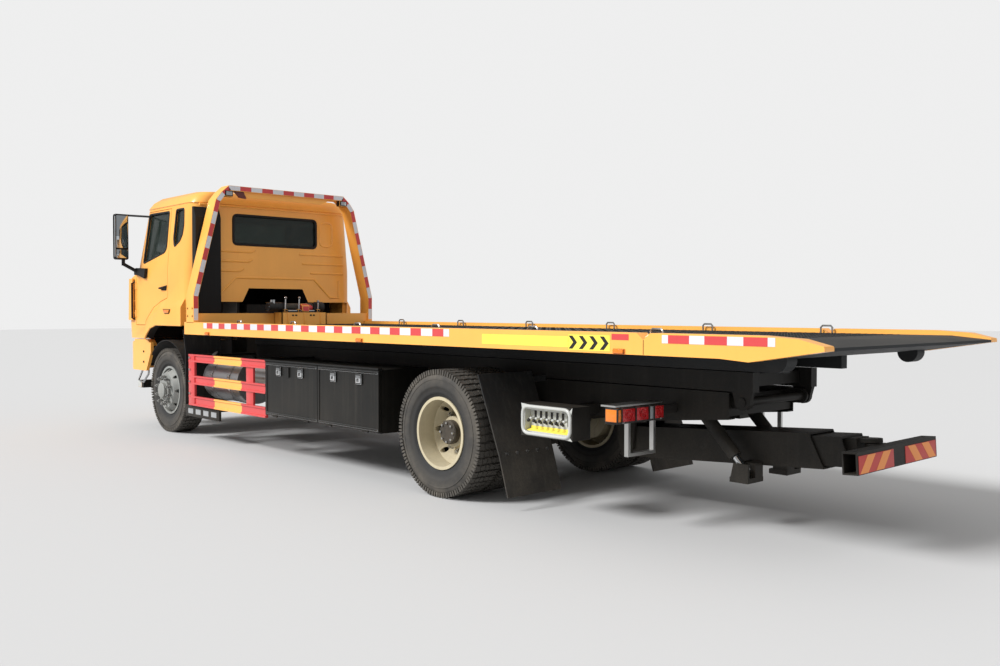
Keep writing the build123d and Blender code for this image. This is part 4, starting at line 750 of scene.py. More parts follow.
def tyres():
    """Tyres with their tread, in place of the plain ones."""
    spread = random.Random(7)
    for name, side in SIDES:
        near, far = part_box("rear_tyres_" + name)[::side]
        rear = [Vector((REAR_X, y, REAR_AXLE.z)) for y in (far.y - side * TYRE_HALF, near.y + side * TYRE_HALF)]
        for body, rubber, axles, node in (
            ("wheel_front_" + name, "front_rubber", [middle("front_tyre_" + name)], "front_tyre_" + name),
            ("wheels_rear_" + name, "rear_rubber", rear, "rear_tyres_" + name),
        ):
            tyre_shape(rubber, axles).made(node + "_carcass", body, "tyre_rubber", node, crease=50)
            for number, axle in enumerate(axles):
                grown("%s_tread_%d" % (node, number), RING, body, "tyre_rubber", rubber, tread_seed(),
                      Count=TREAD_PITCHES, Axle=tuple(axle), Phase=spread.uniform(0, 0.1))


STUD_CIRCLE_R = 0.1675
STUD_COUNT = 10
# how far out the middle of the twin rear wheels is
TWINS_Y = 0.919


def nut_seed(out):
    """A wheel nut on its washer and stud at the top of the stud circle, facing outwards."""
    seed = Shape()
    for start, end, radius, sides in (
            (-0.002, 0.006, 0.026, 20), (0.004, 0.028, 0.0205, 6), (0.026, 0.044, 0.011, 12)):
        seed.rod((0, out * start, STUD_CIRCLE_R), (0, out * end, STUD_CIRCLE_R), radius, sides=sides)
    return seed


def wheel_fittings():
    """Nuts and hub caps of the four wheels."""
    for name, side in SIDES:
        front, rear = "wheel_front_" + name, "wheels_rear_" + name
        front_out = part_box("front_rim_" + name)[::side][1].y
        for body, axle, face in (
                (front, FRONT_AXLE, front_out - side * 0.032), (rear, REAR_AXLE, side * (TWINS_Y + 0.052))):
            grown(body + "_nuts", RING, body, "rod_chrome", "bright_steel", nut_seed(side), Count=STUD_COUNT,
                  Axle=(axle.x, face, axle.z), Phase=0.0)
        hub = Shape("cast", "bright_steel")
        centre = Vector((REAR_X, side * (TWINS_Y + 0.19), REAR_AXLE.z))
        hub.lathe(centre, (0, side, 0), [(-0.06, 0.098), (-0.05, 0.100), (-0.01, 0.100), (0.0, 0.092), (0.003, 0.0)])
        for x, z in circle(8, 0.078):
            spot = centre + Vector((x, 0, z))
            hub.rod(spot, spot + Vector((0, side * 0.014, 0)), 0.010, 1, sides=6)
        hub.made("rear_hub_" + name, rear, "cast_metal")
        cap = Shape("front_wheel")
        centre = Vector((FRONT_X, front_out, FRONT_AXLE.z))
        cap.lathe(centre, (0, side, 0), [(-0.03, 0.094), (0.004, 0.094), (0.010, 0.084), (0.012, 0.0)])
        cap.made("front_hub_" + name, front, "cast_metal")


# Bed rails


TAPE_PERIOD = 0.292
TAPE_BLOCK = 0.142
TAPE_FIRST_X = REAR_X + 4.034
TAPE_BLOCKS = 15
TAPE_THICK = 0.0015
# how deep under the rail's top the tape's foot and head lie, along the rail and on its tail
RAIL_BAND = (0.066, 0.006)
TAIL_BAND = (0.062, 0.010)
CHEVRONS = 4


def rail_markings():
    """Red and white tape, the yellow panel, the chevrons and the seam on both side rails."""
    face, top = RAIL_HIGH.y, RAIL_HIGH.z
    out = face + TAPE_THICK
    marks = Shape("tape_white", "tape_red", "warning_yellow", "seal")

    def patch(x0, x1, deep, near, look, lift=0.0):
        """A patch from one depth under the rail's top to another."""
        marks.block((x0, face - 0.001, top - deep), (x1, out + lift, top - near), look)

    rear_end = TAPE_FIRST_X - TAPE_PERIOD * (TAPE_BLOCKS - 1) - TAPE_BLOCK
    patch(rear_end, TAPE_FIRST_X + 0.156, *RAIL_BAND, 0)
    for number in range(TAPE_BLOCKS):
        x = TAPE_FIRST_X - TAPE_PERIOD * number
        patch(x - TAPE_BLOCK / 2, x + TAPE_BLOCK / 2, *RAIL_BAND, 1, 0.0006)
    yellow_rear, chevron_rear = REAR_X - 1.49, REAR_X - 1.87
    patch(yellow_rear, REAR_X - 0.59, 0.112, 0.036, 2)
    patch(chevron_rear, yellow_rear - 0.004, 0.128, 0.022, 2)
    step = (yellow_rear - chevron_rear) / CHEVRONS
    tip, half, middle_z = 0.042, 0.045, top - 0.075
    for number in range(CHEVRONS):
        front = yellow_rear - step * (number + 0.5) + step * 0.42
        rear = front - 0.036
        marks.prism([
            (front, middle_z + half), (rear, middle_z + half), (rear - tip, middle_z), (rear, middle_z - half),
            (front, middle_z - half), (front - tip, middle_z)], "Y", face - 0.001, out + 0.0008, 3)
    patch(REAR_X - 2.03, REAR_X - 1.885, 0.050, 0.010, 1)
    patch(REAR_X - 2.153, REAR_X - 2.149, 0.14, 0.045, 3)
    tail_front, tail_rear = REAR_X - 2.30, REAR_X - 3.10
    patch(tail_rear, tail_front, *TAIL_BAND, 0)
    for share in (0.16, 0.5, 0.84):
        x = tail_front + (tail_rear - tail_front) * share
        patch(x - 0.08, x + 0.08, *TAIL_BAND, 1, 0.0006)
    marks.twin().made("rail_markings", "bed", "body_paint")


def rail_lamps():
    """Amber side lamps under the rail tape."""
    lamps = Shape("amber_lens", "plastic")
    y, z = RAIL_HIGH.y, RAIL_HIGH.z - 0.126
    for ahead in (4.09, 1.06, -1.95):
        x = REAR_X + ahead
        lamps.block((x - 0.052, y - 0.002, z - 0.019), (x + 0.052, y + 0.006, z + 0.019), 1, 0.004)
        lamps.block((x - 0.044, y, z - 0.014), (x + 0.044, y + 0.020, z + 0.014), 0, 0.006)
    lamps.twin().made("rail_lamps", "bed", "lamp_lens")


def tie_down_loops():
    """Bent steel loops along the inner edge of both rails."""
    loops = Shape("bright_steel")
    y, z = DECK_HIGH.y - 0.03, DECK_HIGH.z
    for number in range(6):
        x = REAR_X + 3.6 - number * 1.15
        loops.pipe([(x + along, y, z + up) for along, up in (
            (-0.05, -0.005), (-0.05, 0.045), (-0.035, 0.06), (0.035, 0.06), (0.05, 0.045), (0.05, -0.005))], 0.008)
    loops.twin().made("tie_down_loops", "bed", "rod_chrome")


def deck_plate():
    """Raised bars of the anti-slip plate."""
    seed = Shape()
    seed.prism([(-0.021, 0.0), (-0.012, -0.005), (0.012, -0.005), (0.021, 0.0), (0.012, 0.005), (-0.012, 0.005)],
               "Z", -0.001, 0.0022)
    rear, front = TAIL_FLAT_X, HOOP_LOW.x - 0.02
    grown("deck_bars", FIELD, "bed", "black_paint", "deck_black", seed,
          Middle=((rear + front) / 2, 0.0, DECK_PLATE_Z), Length=front - rear, Width=(DECK_HIGH.y - 0.05) * 2,
          Rows=110, Columns=34, Turn=math.radians(45))


# Hoop, headboard and winch


HOOP_DEEP = 0.19
HOOP_REAR_X = HOOP_HIGH.x - HOOP_DEEP
HEADBOARD_X = HOOP_REAR_X + 0.04
HEADBOARD_TOP = 1.49
# half width and height of the hoop's corners, from the top down
HOOP_OUTSIDE = ((0.80, 3.01), (0.895, 2.925), (0.965, 2.835), (1.25, 1.70), (1.25, 1.380))
HOOP_INSIDE = ((0.773, 2.95), (0.852, 2.888), (0.908, 2.812), (1.19, 1.69), (1.19, 1.380))
TAPE_WIDTH = 0.052
HOOP_TAPE_HALF = 0.80
HOOP_TAPE_BLOCKS = 11
# half width and height of the middle of the left post's tape, where one block ends and the next begins
POST_TAPE = (
    (1.22, 1.41), (1.22, 1.546), (1.22, 1.69), (1.186, 1.83), (1.151, 1.97), (1.115, 2.113), (1.079, 2.254),
    (1.044, 2.394), (1.006, 2.543), (0.970, 2.686), (0.936, 2.822), (0.868, 2.910), (0.792, 2.978),
)
WINCH_X = HOOP_LOW.x + 0.095


def hoop_frame():
    """The hoop of bent square bar, with its visor, lamp boxes, headboard and winch box."""
    parts = Shape("orange", "plastic", "maroon")
    outline = [(-y, z) for y, z in reversed(HOOP_OUTSIDE)] + list(HOOP_OUTSIDE)
    outline += list(reversed(HOOP_INSIDE)) + [(-y, z) for y, z in HOOP_INSIDE]
    parts.prism(outline, "X", HOOP_REAR_X, HOOP_REAR_X + HOOP_DEEP)
    x = HEADBOARD_X
    parts.block((x - 0.012, -1.195, DECK_PLATE_Z), (x + 0.012, 1.195, HEADBOARD_TOP))
    parts.prism([(-0.642, 2.955), (0.623, 2.955), (0.545, 2.885), (-0.484, 2.885)], "X", x - 0.008, x + 0.008)
    parts.prism([(0.600, 2.955), (0.723, 2.955), (0.650, 2.878), (0.559, 2.870)], "X", x - 0.014, x + 0.014, 2)
    for side in (-1, 1):
        parts.block((x - 0.040, side * 0.745, 2.878), (x + 0.040, side * 0.855, 2.955), 1, 0.006)
    rear, low, top = x - 0.19, DECK_PLATE_Z - 0.002, HEADBOARD_TOP + 0.01
    for x0, y0, x1, y1 in ((rear, -0.45, x, -0.435), (rear, 0.175, x, 0.19), (rear, -0.45, rear + 0.008, 0.19),
                           (x - 0.02, -0.45, x, 0.19)):
        parts.block((x0, y0, low), (x1, y1, top))
    parts.made("hoop_frame", "bed", "body_paint", "hoop")


def tape_block(shape, start, end, look):
    """One block of tape on the hoop's rear face, between two (y, z) points of its middle line."""
    start, end = Vector(start), Vector(end)
    way = end - start
    side = Vector((-way.y, way.x)).normalized() * TAPE_WIDTH / 2
    shape.prism([start - side, start + side, end + side, end - side], "X", HOOP_REAR_X - TAPE_THICK,
                HOOP_REAR_X + 0.001, look)


def hoop_tape():
    """Red and white tape up both posts and along the top bar."""
    tape = Shape("tape_white", "tape_red")
    for number, (start, end) in enumerate(zip(POST_TAPE, POST_TAPE[1:])):
        tape_block(tape, start, end, number % 2)
    tape.twin()
    step = HOOP_TAPE_HALF * 2 / HOOP_TAPE_BLOCKS
    for number in range(HOOP_TAPE_BLOCKS):
        y = HOOP_TAPE_HALF - step * number
        tape_block(tape, (y, 2.981), (y - step, 2.981), number % 2)
    tape.made("hoop_tape", "bed", "body_paint")


def hoop_lamps():
    """Work lamps' lenses under the hoop's top corners, and the bolts of the hoop's feet."""
    lamps = Shape("plastic", "clear_lens", "bright_steel")
    x = HEADBOARD_X
    lamps.block((x - 0.046, 0.750, 2.884), (x - 0.038, 0.850, 2.946), 0, 0.003)
    lamps.block((x - 0.049, 0.750 + 0.008, 2.884 + 0.006), (x - 0.040, 0.850 - 0.008, 2.946 - 0.006), 1, 0.003)
    for up in (0.07, 0.16):
        for ahead in (0.035, 0.155):
            spot = Vector((HOOP_REAR_X + ahead, 1.246, 1.386 + up))
            lamps.rod(spot, spot + Vector((0, 0.004, 0)), 0.014, 2, sides=6)
    lamps.twin().made("hoop_lamps", "bed", "head_lens")


def winch_dressing():
    """Ribs and slots of the winch box, the levers, the strap, the motor's fittings and the rope guard."""
    parts = Shape("orange", "seal", "chrome", "signal_red", "winch_grey")
    face, x = HOOP_LOW.x, WINCH_X
    low, high = DECK_PLATE_Z + 0.004, HEADBOARD_TOP + 0.008
    for y in (0.10, -0.13, -0.36):
        parts.block((face - 0.008, y - 0.009, low), (face + 0.004, y + 0.009, high), 0, 0.003)
    low, high = HEADBOARD_TOP - 0.034, HEADBOARD_TOP - 0.016
    for y in (0.01, -0.24):
        for shift in (-0.022, 0.022):
            parts.block((face - 0.002, y + shift - 0.014, low), (face + 0.002, y + shift + 0.014, high), 1)
    top = HEADBOARD_TOP + 0.02
    for y, height in ((0.13, 0.17), (-0.06, 0.17), (-0.33, 0.13)):
        parts.block((x - 0.10, y - 0.02, top - 0.004), (x - 0.05, y + 0.02, top + 0.03), 4, 0.004)
        parts.rod((x - 0.075, y, top + 0.02), (x - 0.085, y, top + height), 0.008, 2)
        parts.ball((x - 0.086, y, top + height), 0.017, 2, 14)
    parts.prism([(x - 0.10, top), (x - 0.09, top + 0.075), (x - 0.045, top + 0.10), (x + 0.02, top + 0.085),
                 (x + 0.04, top)], "Y", -0.20, -0.10, 3, 0.008)
    parts.ball((x - 0.02, -0.22, top + 0.05), 0.05, 3, 16, (0.9, 1.5, 0.8))
    z = HEADBOARD_TOP + 0.08
    for y, radius in ((0.19, 0.058), (0.24, 0.058), (0.32, 0.060), (-0.39, 0.066)):
        parts.lathe((x, y, z), (0, 1, 0), [(-0.009, 0.0), (-0.009, radius), (0.009, radius), (0.009, 0.0)], 4, 32)
    for along, up in circle(6, 0.045):
        spot = Vector((x + along, 0.328, z + up))
        parts.rod(spot, spot + Vector((0, 0.012, 0)), 0.009, 2, sides=6)
    for along in (-0.03, 0.03):
        parts.rod((x + along, 0.26, z + 0.04), (x + along, 0.26, z + 0.085), 0.014, 2, sides=6)
    parts.rod((x - 0.07, -0.28, z - 0.05), (x - 0.07, 0.09, z - 0.05), 0.012, 2)
    parts.made("winch_fittings", "bed", "winch_metal")
    grown("winch_rope", COIL, "winch_drum", "rope_steel", "rope", Middle=(x, 0.072, z), Radius=0.039, Width=0.334,
          Turns=33.0, Thickness=0.0048)


# Cab


WING_OUT = 0.058
CAB_REAR_X = CAB_LOW.x
FLANK_Y = CAB_HIGH.y
BELT_Z = 2.04
FLANK_LEAN = 0.063 / 0.775
CAB_WALL = 0.06
NOSE_BULGE = 0.0498
# height, front ahead of the axle, half width, front corner, rear corner, rear inset, how far an inset sinks the row
CAB_ROWS = (
    (1.160, 1.205, 1.150, 0.200, 0.170, 0.000, 0.0),
    (1.360, 1.230, 1.150, 0.200, 0.170, 0.000, 0.0),
    (1.950, 1.205, 1.150, 0.200, 0.170, 0.000, 0.0),
    (2.040, 0.965, 1.150, 0.220, 0.170, 0.000, 0.0),
    (2.815, 0.735, 1.087, 0.200, 0.170, 0.000, 0.0),
    (2.825, 0.743, 1.097, 0.205, 0.175, -0.010, 0.0),
    (2.900, 0.690, 1.053, 0.200, 0.170, -0.004, 0.45),
    (2.958, 0.595, 0.980, 0.190, 0.180, 0.025, 0.85),
    (2.990, 0.415, 0.750, 0.150, 0.130, 0.190, 1.0),
)
# outlines on the cab's side: ahead of the front axle, height
DOOR_OUTLINE = (
    (-0.108, 2.790), (-0.108, 1.700), (-0.080, 1.672), (0.112, 1.630), (0.330, 1.556), (0.560, 1.400),
    (0.600, 1.330), (0.890, 1.330), (0.875, 1.985), (0.735, 2.110), (0.600, 2.790),
)
DOOR_WINDOW = ((-0.048, 2.752), (-0.037, 2.300), (0.020, 2.248), (0.652, 2.130), (0.555, 2.757))
QUARTER_WINDOW = (
    (-0.250, 2.760), (-0.467, 2.760), (-0.493, 2.555), (-0.472, 2.445), (-0.410, 2.370), (-0.262, 2.304),
    (-0.228, 2.410),
)
WHEEL_ARCH = (
    (-0.900, 0.900), (-0.900, 1.342), (0.150, 1.342), (0.330, 1.300), (0.450, 1.215), (0.520, 1.100), (0.540, 0.900),
)
WING_ROOT = (
    (-0.600, 1.250), (-0.600, 1.664), (-0.095, 1.664), (0.112, 1.616), (0.330, 1.542), (0.520, 1.408),
    (0.600, 1.290), (0.620, 1.165),
)
WING_CROWN = (
    (-0.600, 1.250), (-0.600, 1.560), (-0.095, 1.560), (0.090, 1.525), (0.270, 1.462), (0.430, 1.350),
    (0.500, 1.260), (0.530, 1.165),
)
REAR_WINDOW = ((-0.585, 2.34), (0.585, 2.34), (0.585, 2.70), (-0.585, 2.70))
WINDSCREEN = ((-1.01, 2.09), (1.01, 2.09), (0.96, 2.75), (-0.96, 2.75))
MIRROR_FOOT = ((0.505, 2.062), (0.538, 1.934), (0.700, 1.972), (0.860, 1.990), (0.860, 2.055), (0.800, 2.076))
# the mirror's middle ahead of the front axle, half its depth, and how far out it reaches
MIRROR_X, MIRROR_HALF, MIRROR_OUT = FRONT_X + 0.85, 0.045, 1.45
DOOR_GAP = 0.007
# the hinges' place ahead of the front axle and out, their radius, and their heights
DOOR_HINGE = (0.892, 1.152, 0.013)
DOOR_HINGE_SPANS = ((1.440, 1.530), (1.800, 1.890))
# how deep the outer and the inner face of a pane lie under the cab's form
PANE_DEPTHS = (0.022, 0.030)
NOSE_BACK_X = FRONT_X + 0.66
# rear and front face of the dark panel behind the grille
GRILLE_BACK = (4.964, 4.984)


def flank_y(z):
    """How far out the cab's side is at a height."""
    return FLANK_Y - max(0.0, z - BELT_Z) * FLANK_LEAN


def rounded(points, radius, steps=4):
    """A closed outline with its corners rounded."""
    points = [Vector(point) for point in points]
    outline = []
    for index, corner in enumerate(points):
        before = points[index - 1] - corner
        after = points[(index + 1) % len(points)] - corner
        reach = min(radius, before.length * 0.45, after.length * 0.45)
        start, end = corner + before.normalized() * reach, corner + after.normalized() * reach
        for step in range(steps + 1):
            share = step / steps
            outline.append(start * (1 - share) ** 2 + corner * 2 * share * (1 - share) + end * share ** 2)
    return outline


def cab_ring(row, inset):
    """The cab's plan outline at one height, inset from its outer face."""
    z, front, half, front_r, rear_r, rear_inset = row[:6]
    front, rear = FRONT_X + front - inset, CAB_REAR_X + rear_inset + inset
    half, front_r, rear_r = half - inset, front_r - inset, rear_r - inset
    chord = half - front_r
    ring = []
    for step in range(-6, 7):
        ring.append((front + NOSE_BULGE * (1 - (step / 6) ** 2), chord * step / 6, z))
    corners = ((front - front_r, 1, front_r, 0), (rear + rear_r, 1, rear_r, 90), (rear + rear_r, -1, rear_r, 180),
               (front - front_r, -1, front_r, 270))
    for x, side, radius, start in corners:
        first = 1 if start == 0 else 0
        for step in range(first, 8 if start == 270 else 9):
            turn = math.radians(start + 90 * step / 8)
            ring.append((x + radius * math.cos(turn), side * (half - radius) + radius * math.sin(turn), z))
    return ring


def cab_form(inset, low=0.0, high=9.0, look=0, looks=("orange", "lining")):
    """The cab's closed form, inset all round, between two heights."""
    rows = [(row[0] - inset * row[6],) + row[1:] for row in CAB_ROWS]
    kept = [row for row in rows if low < row[0] < high]
    for under, over in zip(rows, rows[1:]):
        for level, place in ((low, 0), (high, len(kept))):
            if under[0] <= level <= over[0]:
                share = (level - under[0]) / (over[0] - under[0])
                kept.insert(place, tuple(a + (b - a) * share for a, b in zip(under, over)))
    form = Shape(*looks)
    form.loft([cab_ring(row, inset) for row in kept], look)
    return form


def side_prism(shape, outline, look=0, near=0.70, far=1.40, sides=(1, -1)):
    """A cutter through the cab's sides, from points ahead of the front axle."""
    for side in sides:
        shape.prism([(FRONT_X + x, z) for x, z in outline], "Y", side * near, side * far, look)


def shrunk(outline, gap):
    """An outline drawn in by a gap all round."""
    points = [Vector(point) for point in outline]
    count = len(points)
    area = sum(points[step - 1].x * points[step].y - points[step].x * points[step - 1].y for step in range(count))
    inward = 1 if area > 0 else -1
    lines = []
    for step in range(count):
        way = (points[(step + 1) % count] - points[step]).normalized()
        lines.append((points[step] + Vector((-way.y, way.x)) * gap * inward, way))
    drawn = []
    for step in range(count):
        (spot, way), (after, turn) = lines[step - 1], lines[step]
        span = after - spot
        drawn.append(spot + way * (span.x * turn.y - span.y * turn.x) / (way.x * turn.y - way.y * turn.x))
    return drawn


def tunnel_prism(grow, look=0):
    """The space for the engine under the cab's floor, open at the rear wall."""
    tunnel = Shape("orange", "lining")
    rise, lean, wide = 1.80 + grow, 0.38 + grow * 0.8, 0.47 + grow
    tunnel.prism([(-wide, 1.10), (-wide, 1.62), (-lean, rise), (lean, rise), (wide, 1.62), (wide, 1.10)], "X",
                 CAB_REAR_X - 0.05, FRONT_X + 0.59 + grow, look)
    return tunnel


def panes(name, shape, body, node):
    """Glass where a shape meets the thickness of the cab's panes."""
    outer, inner = (cab_form(depth, looks=("glass",)) for depth in PANE_DEPTHS)
    placed(name, carved(name, shape, ("INTERSECT", outer), ("DIFFERENCE", inner)), body, "cab_glass", node)


def paint_underside_shade(skin):
    """Painted shade: dark plastic on the faces under the cab and behind its nose, in place of the body's paint."""
    skin.materials.append(FINISH["plastic"])
    for face in skin.polygons:
        place, way = face.center, face.normal
        beneath = face.material_index == 0 and place.z < 1.80 and CAB_REAR_X + 0.02 < place.x < NOSE_BACK_X
        inward = abs(way.y) < 0.2 or way.y * place.y < 0
        jamb = abs(place.y) > 1.05 and place.z > 1.345
        behind_nose = face.material_index == 0 and place.z < 1.42 and way.x < -0.2 and place.x > NOSE_BACK_X
        if behind_nose or (beneath and inward and not jamb):
            face.material_index = 2


def cab_skin():
    """The cab's walls, roof, stepped floor and wings, with its windows, doorways and arches cut."""
    looks = ("orange", "lining")
    far = 3.0
    step_x = FRONT_X - 0.2
    floor, rear_floor, thick = 1.42, 1.69, 0.06
    behind, ahead, below, openings, holes, wings = (Shape(*looks) for _ in range(6))
    behind.block((CAB_REAR_X - far, -far, 0), (step_x, far, rear_floor), 1)
    room = carved("room", cab_form(CAB_WALL, floor, 9.0, 1), ("DIFFERENCE", behind))
    ahead.block((step_x - thick, -far, floor - thick), (far * 3, far, far))
    under = carved("under", cab_form(CAB_WALL, 1.161, rear_floor - thick), ("DIFFERENCE", ahead))
    inner = FLANK_Y - CAB_WALL
    below.block((CAB_REAR_X - 0.05, -inner, 0), (CAB_REAR_X + CAB_WALL + 0.02, inner, rear_floor - thick))
    for outline in (DOOR_OUTLINE, QUARTER_WINDOW, WHEEL_ARCH):
        side_prism(openings, outline)
    window = rounded(REAR_WINDOW, 0.05)
    openings.prism(window, "X", CAB_REAR_X - 0.05, CAB_REAR_X + 0.20)
    openings.block((FRONT_X + 1.03, -0.78, 1.35), (FRONT_X + 1.33, 0.78, 1.86))
    holes.prism(WINDSCREEN, "X", FRONT_X + 0.45, FRONT_X + 1.30)
    x, y, radius = DOOR_HINGE
    for side in (-1, 1):
        for low, high in DOOR_HINGE_SPANS:
            holes.rod((FRONT_X + x, side * y, low - 0.004), (FRONT_X + x, side * y, high + 0.004), radius + 0.008)
    for side in (-1, 1):
        wings.loft([[(FRONT_X + x, side * y, z) for x, z in outline] for outline, y in (
            (WING_ROOT, 1.105), (WING_ROOT, FLANK_Y), (WING_CROWN, FLANK_Y + WING_OUT))])
    casing = carved("casing", tunnel_prism(CAB_WALL / 2, 1), ("INTERSECT", cab_form(CAB_WALL / 2)))
    skin = carved("cab_skin", cab_form(0.0), ("DIFFERENCE", room), ("DIFFERENCE", under), ("UNION", casing),
                  ("DIFFERENCE", tunnel_prism(0.0)), ("DIFFERENCE", below), ("UNION", wings),
                  ("DIFFERENCE", openings), ("DIFFERENCE", holes))
    # painted shade: dark plastic on the faces under the cab and behind its nose
    paint_underside_shade(skin)
    placed("cab_skin", skin, "cab", "body_paint", "cab_shell")
    glass = Shape("glass")
    glass.prism(window, "X", CAB_REAR_X - 0.05, CAB_REAR_X + 0.20)
    side_prism(glass, QUARTER_WINDOW)
    glass.prism(WINDSCREEN, "X", NOSE_BACK_X, FRONT_X + 1.30)
    panes("cab_panes", glass, "cab", "cab_glass")


def cab_doors():
    """The doors cut from the cab's form, with their panes and mirrors."""
    for name, side in SIDES:
        door = "door_" + name
        panel, hole = Shape("orange", "lining"), Shape("orange", "lining")
        side_prism(panel, shrunk(DOOR_OUTLINE, DOOR_GAP), sides=(side,))
        side_prism(hole, DOOR_WINDOW, sides=(side,))
        skin = carved("door_skin", panel, ("INTERSECT", cab_form(0.0)),
                      ("DIFFERENCE", cab_form(CAB_WALL, look=1)), ("DIFFERENCE", hole))
        placed("door_skin_" + name, skin, door, "body_paint", door)
        hinges = Shape("orange")
        x, y = FRONT_X + DOOR_HINGE[0], side * DOOR_HINGE[1]
        for low, high in DOOR_HINGE_SPANS:
            hinges.rod((x, y, low), (x, y, high), DOOR_HINGE[2])
            hinges.block((x - 0.06, side * (FLANK_Y - 0.008), low), (x, y, high))
        hinges.made("door_hinges_" + name, door, "body_paint")
        pane = Shape("glass")
        side_prism(pane, DOOR_WINDOW, sides=(side,))
        panes("door_pane_" + name, pane, door, "door_glass_" + name)
        mirror = Shape("plastic", "panel_silver")
        x, half = MIRROR_X, MIRROR_HALF
        y0, y1 = sorted((side * 1.27, side * MIRROR_OUT))
        mirror.block((x - half, y0, 2.18), (x + half, y1, 2.77), 0, 0.022)
        y0, y1 = sorted((side * 1.439, side * 1.439 + side * 0.011))
        mirror.block((x - 0.0475, y0, 2.21), (x + 0.030, y1, 2.74), 1, 0.004)
        side_prism(mirror, MIRROR_FOOT, near=FLANK_Y - 0.001, far=FLANK_Y + 0.038, sides=(side,))
        mirror.rod((FRONT_X + 0.80, side * 1.172, 2.03), (x, side * 1.33, 2.125), 0.022)
        mirror.rod((x, side * 1.33, 2.105), (x, side * 1.33, 2.20), 0.022)
        mirror.rod((FRONT_X + 0.584, side * 1.092, 2.735), (x - 0.01, side * 1.30, 2.758), 0.013)
        mirror.made("mirror_housing_" + name, door, "trim_plastic", "mirror_" + name)


def corner_deflectors():
    """The air deflectors round the cab's front corners, standing off on four ribs each."""
    outer, inner, low, high = 0.032, 0.014, 1.395, 1.940
    paint = ("orange",)
    region, ribs = Shape(*paint), Shape(*paint)
    rear, front = FRONT_X + 0.938, FRONT_X + 1.40
    for side in (-1, 1):
        region.block((rear, side * 0.905, low - 0.01), (front, side * 1.30, high + 0.01))
    panels = carved("corner_deflectors", cab_form(-outer, low, high, looks=paint),
                    ("DIFFERENCE", cab_form(-inner, low - 0.05, high + 0.05, looks=paint)), ("INTERSECT", region))
    placed("corner_deflectors", panels, "cab", "body_paint")
    for z0, z1 in ((1.395, 1.409), (1.483, 1.501), (1.640, 1.658), (1.926, 1.940)):
        for side in (-1, 1):
            ribs.block((rear, side * 0.905, z0), (front, side * 1.30, z1))
    ribs = carved("deflector_ribs", ribs, ("INTERSECT", cab_form(-inner - 0.001, 1.30, 2.0, looks=paint)),
                  ("DIFFERENCE", cab_form(0.0, looks=paint)))
    placed("deflector_ribs", ribs, "cab", "body_paint")


def rear_wall_ribs():
    """Pressed ribs, the arch line over the tunnel and the oval pressing on the cab's rear wall."""
    ribs = Shape("orange")

    def line_of(points, closed=False):
        """A rib through points across and up."""
        ribs.pipe([(CAB_REAR_X + 0.004, y, z) for y, z in points], 0.015, closed=closed)

    for z, far in ((2.25, 0.34), (2.13, 0.38), (2.01, 0.50)):
        line_of([(1.0, z), (far, z), (far - 0.05, z + 0.03)])
        line_of([(-1.0, z), (-far, z)])
    for side in (-1, 1):
        line_of([(side * 0.93, 1.92), (side * 0.93, 1.69), (side * 0.80, 1.69), (side * 0.55, 1.93)])
    line_of([(0.55, 1.93), (-0.55, 1.93)])
    line_of(rounded([(-0.64, 2.68), (-0.83, 2.68), (-0.83, 2.37), (-0.64, 2.37)], 0.07), True)
    line_of([(1.02, 2.80), (-1.02, 2.80)])
    ribs.made("rear_wall_ribs", "cab", "body_paint")


def flank_seal(shape, outline, side):
    """A rubber seal round a window in the cab's side."""
    shape.pipe([(FRONT_X + x, side * (flank_y(z) - 0.004), z) for x, z in rounded(outline, 0.03)], 0.013, closed=True)


def window_seals():
    """Black rubber seals round the cab's fixed windows."""
    seals = Shape("seal")
    seals.pipe([(CAB_REAR_X + 0.004, y, z) for y, z in rounded(REAR_WINDOW, 0.055)], 0.017, closed=True)
    for side in (-1, 1):
        flank_seal(seals, QUARTER_WINDOW, side)
    seals.made("window_seals", "cab", "trim_plastic")


def door_fittings():
    """Seals, handles, mirror glasses, sill rails and arm rests of the doors."""
    for name, side in SIDES:
        parts = Shape("seal", "plastic", "mirror")
        flank_seal(parts, DOOR_WINDOW, side)
        handle = [(0.135, 1.811), (-0.082, 1.835), (-0.060, 1.770), (0.06, 1.776)]
        parts.prism([(FRONT_X + x, z) for x, z in handle], "Y", side * (FLANK_Y - 0.004), side * (FLANK_Y + 0.006), 1)
        parts.pipe([(FRONT_X + x, side * (FLANK_Y + out), z) for x, out, z in (
            (-0.07, 0.004, 1.812), (-0.055, 0.030, 1.812), (0.085, 0.030, 1.800), (0.10, 0.004, 1.798))], 0.011, 1)
        back = MIRROR_X - MIRROR_HALF
        for z0, z1 in ((2.33, 2.75), (2.20, 2.31)):
            parts.block((back - 0.003, side * (MIRROR_OUT - 0.165), z0),
                        (back + 0.002, side * (MIRROR_OUT - 0.015), z1), 2, 0.001)
        y = side * (FLANK_Y - 0.075)
        parts.rod((FRONT_X - 0.02, y, 2.05), (FRONT_X + 0.45, y, 2.05), 0.014, 1)
        parts.block((FRONT_X, side * (FLANK_Y - 0.10), 1.72), (FRONT_X + 0.5, side * (FLANK_Y - 0.055), 1.80), 1,
                    0.012)
        parts.made("door_fittings_" + name, "door_" + name, "trim_plastic")


